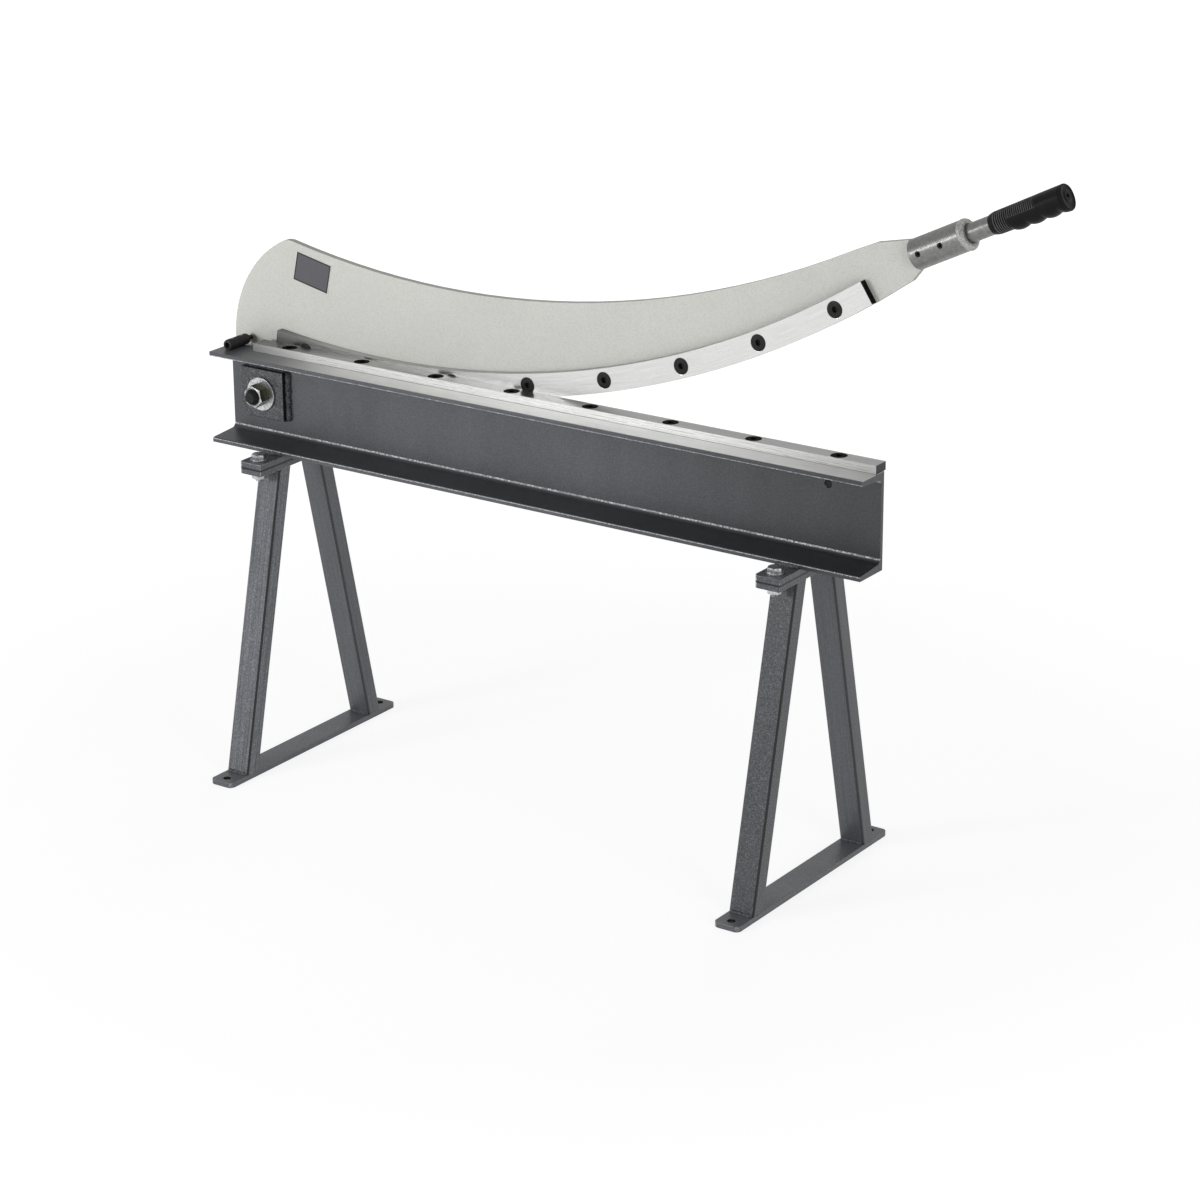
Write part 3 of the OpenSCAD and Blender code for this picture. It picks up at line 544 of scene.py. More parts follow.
def milled_strip(add, colours, point, x, y, paint):
    """Puts bare milled steel over the paint of the beam's top in front of the blade, with lengthwise
    cutter marks, painted reflection that makes it dark at the blade's left end and changes its tone
    along it, and painted shade in the seam along the blade. Gives back the colour and where it is bare."""
    blade_low = span("fixed_blade")[0]
    # The strip is a thin box from the beam's front edge to under the blade, where a point's distances
    # from the centre, over the half sizes, are all below 1
    low = np.array([blade_low[0] - 1 * MM, BEAM_LOW[1] + 2 * MM, BEAM_HIGH[2] - 0.6 * MM])
    high = np.array([BEAM_HIGH[0] + 1 * MM, blade_low[1] + 40 * MM, BEAM_HIGH[2] + 0.6 * MM])
    off = add("VectorMath.SUBTRACT", in0=point, in1=tuple((low + high) / 2))
    shares = add("VectorMath.DIVIDE", in0=add("VectorMath.ABSOLUTE", in0=off),
                 in1=tuple((high - low) / 2))
    shares = [add("SeparateXYZ", i, Vector=shares) for i in range(3)]
    bare = add("Math.LESS_THAN", in0=largest(add, *shares), in1=1.0)
    cuts = add("TexNoise", Vector=add("Mapping", Vector=point, Scale=(0.02, 1, 1)),
               Scale=1 / (0.9 * MM), Detail=1.0)
    # Painted reflection: the bare strip is dark at the blade's left end, bright along its middle and a
    # little darker at the right
    along = add("MapRange", Value=x, From_Min=blade_low[0], From_Max=TONE_END)
    milled = add("ValToRGB", Fac=along, stops=(
        (0, "#5E5E60"), (0.06, "#767678"), (0.17, "#D2D2D0"), (0.5, colours.strip),
        (0.75, "#E6E6E4"), (1, "#BCBCBA")))
    milled = mottled(add, milled, (cuts, ((0.3, 0.86), (0.7, 1))))
    # Painted shade in the seam where the blade stands on the strip
    seam = beside(add, y, blade_low[1], 0.9 * MM, 1.6 * MM)
    milled = coated(add, milled, (seam, linear("#262626")))
    return coated(add, paint, (bare, milled)), bare


def powder_coat(name, colours):
    """Polyester powder coat, baked: pale, satin, with a fine orange peel of about 2 mm, painted shade
    that makes its edge a little darker, and a brownish painted shadow under the adjuster's tip."""
    material, add, point = new_material(name)
    peel = add("TexNoise", Vector=point, Scale=1 / (2.2 * MM), Detail=2.5, Roughness=0.6)
    clouds = add("TexNoise", Vector=point, Scale=1 / (90 * MM), Detail=1.0)
    # Painted shade: the faces that don't look ahead or behind are a little darker
    edge = add("Math.LESS_THAN", in0=facing(add)[1], in1=0.9)
    # A brownish painted shadow a little below and to the right of the screw's tip, and a noise makes
    # its edge ragged
    tip = middle("adjusting_screw") * [1, 0, 1] + span("arm_plate")[0] * [0, 1, 0]
    far = add("VectorMath.DISTANCE", "Value", in0=point, in1=tuple(tip + [4 * MM, 0, -2 * MM]))
    ragged = add("TexNoise", Vector=point, Scale=1 / (6 * MM), Detail=3.0)
    ragged = add("Math.MULTIPLY_ADD", in0=ragged, in1=10 * MM, in2=far)
    tip_shadow = add("MapRange", Value=ragged, From_Min=9 * MM, From_Max=15 * MM, To_Min=0.75, To_Max=0.0)
    shade = mottled(add, coated(add, colours.arm, (edge, colours.arm_edge_shade)),
                    (clouds, ((0.3, 0.96), (0.7, 1))), (peel, ((0.38, 0.9), (0.55, 1))))
    shade = coated(add, shade, (tip_shadow, linear("#6E675A")))
    shade_with(add, shade, peel, (0.56, 0.46), peel, 0.06 * MM)
    return material


def ground_steel(name, colours, curved=False):
    """Tool steel, hardened and ground: scratches run along the blade, or round the arc of the curved
    one. Painted reflection makes its left end and its top darker and changes its tone along it, and
    painted shade makes its sawn ends black. The straight blade's front is ground finer across, so it
    spreads the light more."""
    material, add, point = new_material(name)
    x, y = (add("SeparateXYZ", i, Vector=point) for i in range(2))
    sides = facing(add)
    low, high = span("moving_blade" if curved else "fixed_blade")
    coats = []
    if curved:
        # Way round the arc and distance from its centre
        reach = add("VectorMath.SUBTRACT", in0=point, in1=(ARC[0], 0, ARC[1]))
        dx, dz = (add("SeparateXYZ", i, Vector=reach) for i in (0, 2))
        flat = add("VectorMath.MULTIPLY", in0=reach, in1=(1, 0, 1))
        turn = add("Math.ARCTAN2", in0=dx, in1=dz)
        ground = add("CombineXYZ", X=add("Math.MULTIPLY", in0=turn, in1=0.02), Y=y,
                     Z=add("VectorMath.LENGTH", "Value", in0=flat))
        # A sawn end faces along the arc, which is square to the way from the centre
        out = add("VectorMath.DOT_PRODUCT", "Value", in0=add("TexCoord", "Normal"),
                  in1=add("VectorMath.NORMALIZE", in0=flat))
        out = largest(add, sides[1], add("Math.ABSOLUTE", in0=out))
        end = add("Math.LESS_THAN", in0=out, in1=0.3)
        top = add("Math.LESS_THAN", in0=sides[1], in1=0.7)
        # Painted reflection darkens the front's left part
        front = ((0, colours.blade_dark_reflection), (0.4, colours.blade))
        # Painted shadow along the back edge, where the blade meets the arm
        behind = add("MapRange", Value=y, From_Min=high[1] - 1.4 * MM, From_Max=high[1] - 0.8 * MM)
        coats.append((behind, linear("#2C2C2C")))
        metal = 1.0
    else:
        ground = add("Mapping", Vector=point, Scale=(0.012, 1, 1))
        end = add("Math.GREATER_THAN", in0=sides[0], in1=0.9)
        top = add("Math.GREATER_THAN", in0=sides[2], in1=0.9)
        # Painted reflection: the front is darker at its left end and a little at its right
        front = ((0, "#A6A6A5"), (0.1, "#F2F2F1"), (0.75, "#F6F6F5"), (1, "#D0D0CF"))
        metal = add("MapRange", Value=top, To_Min=0.5, To_Max=1.0)
    # Real grinding marks are about 0.1 mm apart; these are 0.8 mm so that they show
    scratch = add("TexNoise", Vector=ground, Scale=1 / (0.8 * MM), Detail=2.0, Roughness=0.6)
    along = add("MapRange", Value=x, From_Min=low[0], From_Max=high[0])
    # Painted reflection: the top is darker, darkest at its left end
    dull = add("ValToRGB", Fac=along, stops=((0, "#68686A"), (0.1, "#B8B8B7"), (0.5, colours.blade_top),
                                             (0.75, "#A8A8A7"), (1, "#A8A8A7")))
    shade = coated(add, add("ValToRGB", Fac=along, stops=front), (top, dull))
    shade = mottled(add, shade, (scratch, ((0.3, 0.86), (0.65, 1))))
    # Painted shade makes the sawn ends black
    shade = coated(add, shade, *coats, (end, linear("#060606")))
    shade_with(add, shade, scratch, (0.36, 0.24), scratch, 0.012 * MM, Metallic=metal)
    return material


def turned_steel(name, colour, rough=0.3):
    """Mild steel turned on a lathe: fine rings round the handle's axis, and a little cloud from
    handling."""
    material, add, point = new_material(name)
    # Real turning marks are about 0.2 mm apart; these are 0.6 mm so that they show
    along = add("VectorMath.DOT_PRODUCT", "Value", in0=point, in1=tuple(ALONG))
    rings = add("TexNoise", noise_dimensions="1D", W=along, Scale=1 / (0.6 * MM), Detail=2.0)
    clouds = add("TexNoise", Vector=point, Scale=1 / (5 * MM), Detail=4.0, Roughness=0.65)
    shade = mottled(add, colour, (rings, ((0.3, 0.84), (0.7, 1))),
                    (clouds, ((0.35, 0.78), (0.62, 1))))
    shade_with(add, shade, clouds, (rough + 0.08, rough), rings, 0.02 * MM, Metallic=1.0)
    return material


def zinc_plate(name, colours, flats=None):
    """Bright zinc plate: white metal, clouded, with fine pits. With flats, a nut's flat faces have
    that colour, and only its chamfers and washers stay bright."""
    material, add, point = new_material(name)
    clouds = add("TexNoise", Vector=point, Scale=1 / (3 * MM), Detail=3.0, Roughness=0.65)
    pits = add("TexNoise", Vector=point, Scale=1 / (0.9 * MM), Detail=1.0)
    shade = add("ValToRGB", Fac=clouds, stops=((0.38, colours.zinc_dull), (0.56, colours.zinc)))
    if flats is not None:
        flank = add("ValToRGB", Fac=facing(add)[1],
                    stops=((0.4, 1), (0.5, 0), (0.96, 0), (0.98, 0.75)))
        shade = coated(add, shade, (flank, flats))
    shade_with(add, shade, clouds, (0.42, 0.24), pits, 0.05 * MM, Metallic=1.0)
    return material


def black_oxide(name, colour, rough=0.42, gleam=0.25, ridges="#161617"):
    """Black oxide on steel: near black, with a dull gleam and a brown cast where the oil is thin. The
    groove attribute marks the ridges, whose tops take a lighter colour, and the bottoms between them,
    which painted shade makes black."""
    material, add, point = new_material(name)
    clouds = add("TexNoise", Vector=point, Scale=1 / (5 * MM), Detail=3.0)
    grain = add("TexNoise", Vector=point, Scale=1 / (1.1 * MM), Detail=2.0)
    groove = add("Attribute", "Fac", attribute_name="groove")
    # Ridge tops take the ridges colour, and painted shade makes the bottoms between them black
    shade = add("ValToRGB", Fac=groove, stops=((0, colour), (0.3, ridges), (0.8, "#020202")))
    thin = add("ValToRGB", Fac=clouds, stops=((0.45, 0), (0.8, 0.6)))
    shade = coated(add, shade, (thin, linear("#262422")))
    shade_with(add, shade, clouds, (rough + 0.12, rough), grain, 0.03 * MM,
               Specular_IOR_Level=gleam)
    return material


def moulded_rubber(name, colours):
    """Moulded rubber: matt black, with a fine grain from the mould and a soft sheen. The groove
    attribute marks the ribs: their tops are a lighter grey, and painted shade makes the grooves between
    them black."""
    material, add, point = new_material(name)
    grain = add("TexNoise", Vector=point, Scale=1 / (0.8 * MM), Detail=2.0)
    clouds = add("TexNoise", Vector=point, Scale=1 / (12 * MM), Detail=2.0)
    groove = add("Attribute", "Fac", attribute_name="groove")
    # Lighter grey on the ribs' tops, and painted shade that makes the grooves black
    shade = add("ValToRGB", Fac=groove, stops=((0, colours.rubber), (0.3, colours.rubber_rib),
                                               (0.75, "#020202")))
    shade = mottled(add, shade, (clouds, ((0.35, 0.6), (0.65, 1))))
    shade_with(add, shade, grain, (0.5, 0.34), grain, 0.04 * MM, Specular_IOR_Level=0.16)
    return material


def bare_weld(name):
    """Weld metal left bare: dull grey, scaly, with darker heat marks."""
    material, add, point = new_material(name)
    scale = add("TexNoise", Vector=point, Scale=1 / (2.2 * MM), Detail=3.0, Roughness=0.6)
    shade = add("ValToRGB", Fac=scale, stops=((0.35, "#8E8D8B"), (0.62, "#C0C0BD")))
    shade_with(add, shade, scale, (0.62, 0.42), scale, 0.15 * MM, Metallic=0.85)
    return material


def bare_plate(name, colours):
    """Thin aluminium plate with a satin enamel face, a black border and a pale bare rim. How far in a
    point lies is found from the plate's two directions."""
    material, add, point = new_material(name)
    low, high = span("rating_plate")
    turn = math.radians(12)
    cos, sin = math.cos(turn), math.sin(turn)
    size = high - low
    # The box of a turned rectangle gives its sides back: width = (w cos a - h sin a) / cos 2a
    width = (size[0] * cos - size[2] * sin) / math.cos(2 * turn)
    height = (size[2] * cos - size[0] * sin) / math.cos(2 * turn)
    shift = add("VectorMath.SUBTRACT", in0=point, in1=tuple((low + high) / 2))
    gaps = []
    for axis, full in (((cos, 0, -sin), width), ((sin, 0, cos), height)):
        off = add("Math.ABSOLUTE", in0=add("VectorMath.DOT_PRODUCT", "Value", in0=shift, in1=axis))
        gaps.append(add("Math.SUBTRACT", in0=full / 2, in1=off))
    inset = add("Math.MINIMUM", in0=gaps[0], in1=gaps[1])
    inset = add("Math.DIVIDE", in0=inset, in1=10 * MM)
    fine = add("TexNoise", Vector=point, Scale=1 / (1.6 * MM), Detail=2.0)
    face = add("ValToRGB", Fac=inset, stops=((0, "#DEDED8"), (0.08, "#DEDED8"), (0.12, "#101010"),
                                             (0.3, "#101010"), (0.36, colours.plate)))
    face = mottled(add, face, (fine, ((0.35, 0.82), (0.65, 1))))
    add("OutputMaterial", Surface=add(
        "BsdfPrincipled", Base_Color=face, Roughness=0.42,
        Normal=add("Bump", Height=fine, Distance=0.02 * MM)))
    return material


# Operators


class ShearOperator:
    """What every operator here shares."""

    bl_options = {"REGISTER", "UNDO"}

    @property
    def sizes(self):
        return bpy.context.scene.shear_sizes

    @property
    def colours(self):
        return bpy.context.scene.shear_colours


class SHEAR_OT_stand(ShearOperator, bpy.types.Operator):
    """Paints the feet, legs, joint plates, beam and pivot plate, and rounds their edges"""

    bl_idname = "shear.stand"
    bl_label = "Stand and beam"

    def execute(self, context):
        # Height of the gap between the joint plates, where painted shade goes
        gap = span("upper_joint_plate_left")[0][2]
        enamel = partial(hammered_enamel, colours=self.colours)
        # The shade values are painted light and shade: the left front leg is painted lighter, and the
        # right legs, joint plates, beam and pivot plate darker
        foot = enamel("hammered_enamel", contrast=0.15, edges=0.3, holes=True)
        grained = enamel("hammered_enamel_grained_and_shaded", grain=2.0 * MM, contrast=0.6, depth=0.15 * MM,
                         shade=0.68, edges=0, leg=0.95)
        brushed = enamel("hammered_enamel_brushed_and_lit", contrast=0.35, shade=1.42, edges=0, leg=0.95,
                         streaks=0.5)
        smooth = partial(enamel, contrast=0.15, depth=0.04 * MM, edges=0, leg=0.7, streaks=0.25)
        joints = enamel("hammered_enamel_joint_shaded", contrast=0.35, shade=0.8, line=gap)
        channel = enamel("hammered_enamel_milled_top", grain=1.6 * MM, contrast=0.24,
                         depth=0.06 * MM, shade=0.86, channel=True)
        # The pivot plate's paint, with painted shade on its sides
        boss = enamel("hammered_enamel_shaded_sides", contrast=0.7, shade=0.66, edges=0,
                      black_sides=True)
        for side in ("left", "right"):
            for node, paint in (("foot_plate_", foot), ("lower_joint_plate_", joints),
                                ("upper_joint_plate_", joints)):
                finish_node(node + side, paint, self.sizes.edge_round)
        finish_node("front_leg_left", brushed, 0)
        finish_node("front_leg_right", grained, 0)
        finish_node("rear_leg_left", smooth("hammered_enamel_smooth"), 0)
        finish_node("rear_leg_right", smooth("hammered_enamel_smooth_shaded_right", shade=0.84), 0)
        finish_node("beam", channel, 1.2 * self.sizes.edge_round)
        finish_node("pivot_plate", boss, self.sizes.edge_round)
        return {"FINISHED"}


class SHEAR_OT_welds(ShearOperator, bpy.types.Operator):
    """Lays the painted weld beads of the legs, the joint plates and the pivot plate"""

    bl_idname = "shear.welds"
    bl_label = "Painted welds"

    def execute(self, context):
        # shade 0.6 and 0.4 are painted shade that darkens the beads, deepest round the pivot plate
        paint = hammered_enamel("enamel_over_weld_shaded", self.colours, 4 * MM, shade=0.6, edges=0)
        crust = hammered_enamel("enamel_over_crust_shaded", self.colours, 1.8 * MM, contrast=1.0,
                                depth=0.3 * MM, shade=0.4, edges=0)
        radius, pitch = self.sizes.weld_r, self.sizes.weld_pitch
        beads, seed = [], 11
        foot_top = span("foot_plate_left")[1][2]
        leg_low, leg_high = span("front_leg_left")
        half = (leg_high[0] - leg_low[0]) / 2 - 3 * MM
        plate_low = span("lower_joint_plate_left")[0][2]
        for centre in FEET_X:
            for sign in (-1, 1):
                outer = sign * -leg_low[1]
                top_outer = sign * (LEG_DEPTH - leg_high[1])
                for y, z, lift in ((outer, foot_top, 1), (outer - sign * LEG_DEPTH, foot_top, 1),
                                   (top_outer, plate_low, -1),
                                   (top_outer - sign * LEG_DEPTH, plate_low, -1)):
                    seed += 1
                    z = z + 0.2 * lift * radius
                    beads.append(bead((centre - half, y, z), (centre + half, y, z), radius, pitch,
                                      seed, (0, 0, lift)))
            z = BEAM_LOW[2] + 0.4 * radius
            for y in (BEAM_LOW[1], BEAM_HIGH[1]):
                seed += 1
                beads.append(bead((centre - half, y, z), (centre + half, y, z), 1.1 * radius, pitch,
                                  seed))
        piece("stand_welds", STAND, paint, joined(beads))
        low, high = span("pivot_plate")
        r = self.sizes.plate_weld_r
        y = high[1] - 0.1 * r
        right = high[0] + 0.2 * r
        # Clockwise round the plate from its upper left corner, and how thick each bead is
        around = (((low[0] + 4 * MM, y, high[2]), (high[0] - 1 * MM, y, high[2]), 0.8),
                  ((right, y, high[2] + 2 * MM), (right, y, low[2] - 2 * MM), 1.0),
                  ((high[0] - 2 * MM, y, low[2]), (low[0] + 6 * MM, y, low[2]), 0.7),
                  ((low[0], y, low[2] + 4 * MM), (low[0], y, high[2] - 4 * MM), 0.7))
        beads = [bead(start, stop, share * r, pitch, 71 + i, -ALONG_Y)
                 for i, (start, stop, share) in enumerate(around)]
        piece("pivot_plate_welds", STAND, crust, joined(beads))
        return {"FINISHED"}


class SHEAR_OT_joint_fasteners(ShearOperator, bpy.types.Operator):
    """Makes the hexagon bolts, washers and nuts that hold the beam on the legs"""

    bl_idname = "shear.joint_fasteners"
    bl_label = "Joint bolts"

    def execute(self, context):
        zinc = zinc_plate("zinc_plate", self.colours)
        finish_node("joint_washers", zinc, 0.4 * MM)
        low, high = span("joint_bolts")
        nut_low, nut_high = span("joint_nuts")
        washer_top = span("joint_washers")[1][2]
        radius, pitch, across = M12
        head = hex_head(across, high[2] - washer_top)
        shank = thread(radius, pitch, washer_top - low[2])
        nut = hex_nut(across, nut_high[2] - nut_low[2], radius)
        bolts, nuts = [], []
        for i, x in enumerate(FEET_X):
            for j, y in enumerate((-JOINT_BOLT_Y, JOINT_BOLT_Y)):
                # Each bolt is tightened to its own angle
                turn = 0.35 + 1.1 * i + 0.6 * j
                side = (math.cos(turn), math.sin(turn), 0)
                bolts.append(shell(placed(head, (x, y, washer_top), ALONG_Z, side)))
                bolts.append(shell(placed(shank, (x, y, washer_top), -ALONG_Z, side)))
                nuts.append(shell(placed(nut, (x, y, nut_low[2]), ALONG_Z, side), loop=True))
        piece("hexagon_bolts", STAND, zinc, joined(bolts), ["joint_bolts"])
        piece("hexagon_nuts", STAND, zinc, joined(nuts), ["joint_nuts"])
        return {"FINISHED"}


class SHEAR_OT_pivot(ShearOperator, bpy.types.Operator):
    """Makes the pivot bolt with its nut, washers and spacer"""

    bl_idname = "shear.pivot"
    bl_label = "Pivot"

    def execute(self, context):
        zinc = zinc_plate("zinc_plate_pivot", self.colours)
        yellowed = zinc_plate("zinc_plate_yellowed", self.colours, self.colours.nut_flat)
        black = black_oxide("black_oxide_bolt", self.colours.black)
        turned = turned_steel("turned_steel_spacer", self.colours.turned)
        finish_node("pivot_washer_front", zinc, 0.6 * MM)
        finish_node("pivot_washer_rear", zinc, 0.6 * MM)
        finish_node("pivot_spacer", turned, 0.5 * MM)
        nut_low, nut_high = span("pivot_nut")
        bolt_low, bolt_high = span("pivot_bolt")
        radius, pitch, across = M20
        turn = math.radians(12)
        side = (math.cos(turn), 0, math.sin(turn))
        nut = hex_nut(across, nut_high[1] - nut_low[1], radius)
        piece("pivot_hexagon_nut", STAND, yellowed,
              shell(placed(nut, PIVOT + ALONG_Y * nut_high[1], -ALONG_Y, side), loop=True),
              ["pivot_nut"])
        head_y = span("pivot_washer_rear")[1][1]
        head = hex_head(across, bolt_high[1] - head_y)
        end = thread(radius, pitch, head_y - bolt_low[1])
        piece("pivot_hexagon_bolt", STAND, black,
              joined([shell(placed(head, PIVOT + ALONG_Y * head_y, ALONG_Y, side)),
                      shell(placed(end, PIVOT + ALONG_Y * head_y, -ALONG_Y, side))]),
              ["pivot_bolt"])
        return {"FINISHED"}


class SHEAR_OT_adjuster(ShearOperator, bpy.types.Operator):
    """Makes the ridged adjuster boss, and finishes its screws and the arm's stop pin"""

    bl_idname = "shear.adjuster"
    bl_label = "Blade adjuster"

    def execute(self, context):
        black = black_oxide("black_oxide_adjuster", self.colours.black, ridges="#3E3E40")
        # The lock screws are pale grey as a painted highlight
        bright = black_oxide("worn_oxide", linear("#8A8A88"), rough=0.3)
        low, high = span("adjuster_boss")
        radius = (high[0] - low[0]) / 2
        centre = np.array([(low[0] + high[0]) / 2, 0, high[2] - radius])
        columns, pitch, bore, chamfer = 72, 3.0 * MM, 4.05 * MM, 1.6 * MM
        length = high[1] - low[1]
        # Ridges whose height falls and rises once a pitch, cut by a cone of 45 degrees at both ends
        y = np.linspace(0, length, int(length / pitch * 8))[:, None] * np.ones(columns)
        groove = (1 - np.abs(2 * ((y / pitch) % 1) - 1)) ** 1.5
        ends = np.minimum(y, length - y)
        ridged = np.minimum(radius - (0.2 + 1.2 * groove) * MM, radius - chamfer + ends)
        one = np.ones((1, columns))
        r = np.concatenate([bore * one, ridged, bore * one])
        y = np.concatenate([0 * one, y, length * one])
        # Groove values: the ridge tops lighter, the bottoms black with painted shade
        marks = np.concatenate([0 * one, 0.3 + 0.7 * groove, 0 * one])
        grid = placed(round_grid(r, y, columns), centre + ALONG_Y * low[1], ALONG_Y, ALONG_X)
        # The boss is filed flat where it sits on the beam
        grid[..., 2] = np.maximum(grid[..., 2], BEAM_HIGH[2])
        piece("ridged_boss", STAND, black, shell(grid, loop=True), ["adjuster_boss"],
              sharp=50, marks=marks)
        finish_node("adjusting_screw", black, 0.3 * MM)
        finish_node("adjuster_lock_screws", bright, 0)
        finish_node("arm_stop_pin", black, 0.6 * MM)
        return {"FINISHED"}


class SHEAR_OT_blades(ShearOperator, bpy.types.Operator):
    """Grinds the two blades"""

    bl_idname = "shear.blades"
    bl_label = "Blades"

    def execute(self, context):
        finish_node("fixed_blade", ground_steel("ground_steel_straight", self.colours), 0.3 * MM)
        finish_node("moving_blade", ground_steel("ground_steel_curved", self.colours, True),
                    0.3 * MM)
        return {"FINISHED"}


class SHEAR_OT_blade_screws(ShearOperator, bpy.types.Operator):
    """Makes the countersunk socket screws of both blades, and the nuts behind the arm"""

    bl_idname = "shear.blade_screws"
    bl_label = "Blade screws"

    def execute(self, context):
        black = black_oxide("black_oxide_screws", self.colours.black)
        # The bed's screws are seen almost edge on, so their oil film must not mirror the room, and
        # painted shade makes them near black
        matt = black_oxide("black_oxide_bed", linear("#050505"), rough=0.6, gleam=0.04,
                           ridges="#050505")
        zinc = zinc_plate("zinc_plate_nuts", self.colours)
        radius, pitch, across = M12
        screw = partial(socket_screw, radius=radius, head_r=HEAD_R + 0.06 * MM, key=8 * MM,
                        key_depth=4.8 * MM, pitch=pitch)
        low, high = span("fixed_blade_screws")
        grid = screw(length=high[2] - low[2])
        screws = []
        for i in range(BLADE_SCREWS):
            x = low[0] + HEAD_R + i * SCREW_PITCH
            turn = 0.5 + 0.7 * i
            screws.append(shell(placed(grid, (x, 0, high[2] - 0.2 * MM), -ALONG_Z,
                                       (math.cos(turn), math.sin(turn), 0))))
        piece("bed_socket_screws", STAND, matt, joined(screws),
              ["fixed_blade_screws"])
        low, high = span("moving_blade_screws")
        nut_low, nut_high = span("moving_blade_nuts")
        grid = screw(length=high[1] - low[1])
        nut = hex_nut(across, nut_high[1] - nut_low[1], radius)
        screws, nuts = [], []
        for i in range(BLADE_SCREWS):
            angle = FIRST_SCREW + SCREW_TURN * i
            x, z = ARC + SCREW_ARC_R * np.array([math.sin(angle), -math.cos(angle)])
            turn = 0.2 + 0.9 * i
            side = (math.cos(turn), 0, math.sin(turn))
            screws.append(shell(placed(grid, (x, low[1] + 0.15 * MM, z), ALONG_Y, side)))
            nuts.append(shell(placed(nut, (x, nut_low[1], z), ALONG_Y, side), loop=True))
        piece("arm_socket_screws", LEVER, black, joined(screws),
              ["moving_blade_screws"])
        piece("arm_hexagon_nuts", LEVER, zinc, joined(nuts), ["moving_blade_nuts"])
        return {"FINISHED"}


class SHEAR_OT_arm(ShearOperator, bpy.types.Operator):
    """Coats the arm and finishes its bare rating plate"""

    bl_idname = "shear.arm"
    bl_label = "Arm"

    def execute(self, context):
        finish_node("arm_plate", powder_coat("powder_coat", self.colours),
                    1.2 * self.sizes.edge_round, 3)
        finish_node("rating_plate", bare_plate("bare_rating_plate", self.colours), 0)
        return {"FINISHED"}


class SHEAR_OT_handle(ShearOperator, bpy.types.Operator):
    """Finishes the socket, its grub screws and the rod, and lays the weld between them"""

    bl_idname = "shear.handle"
    bl_label = "Handle"

    def execute(self, context):
        turned = self.colours.turned
        finish_node("handle_socket", turned_steel("turned_steel_socket", turned), 0.6 * MM)
        finish_node("handle_rod", turned_steel("turned_steel_rod", turned, 0.34), 0)
        finish_node("socket_grub_screws", black_oxide("black_oxide_grub", self.colours.black), 0)
        # The weld is a ring round the rod, swollen by waves of which several go round it
        columns, rows = 90, 28
        ring_r, ring_z, bead_r, swell = 16.4 * MM, 87.5 * MM, 5.6, 0.36
        t = (np.arange(columns) / columns * TAU)[None, :]
        v = (np.arange(rows) / rows * TAU)[:, None]
        counts, heights = (2, 3, 7, 12, 19), (0.5, 0.4, 0.3, 0.35, 0.25)
        starts = np.random.default_rng(5).uniform(0, TAU, len(counts))
        lumps = sum(a * np.sin(k * t + p) for k, a, p in zip(counts, heights, starts))
        minor = (bead_r + swell * lumps * (0.6 + 0.4 * np.cos(v))) * MM
        r = ring_r + minor * np.cos(v)
        z = ring_z + 1.1 * minor * np.sin(v)
        grid = placed(round_grid(r, z, columns), SOCKET, ALONG, ACROSS)
        piece("rod_weld", LEVER, bare_weld("bare_weld"), shell(grid[::-1], loop=True))
        return {"FINISHED"}


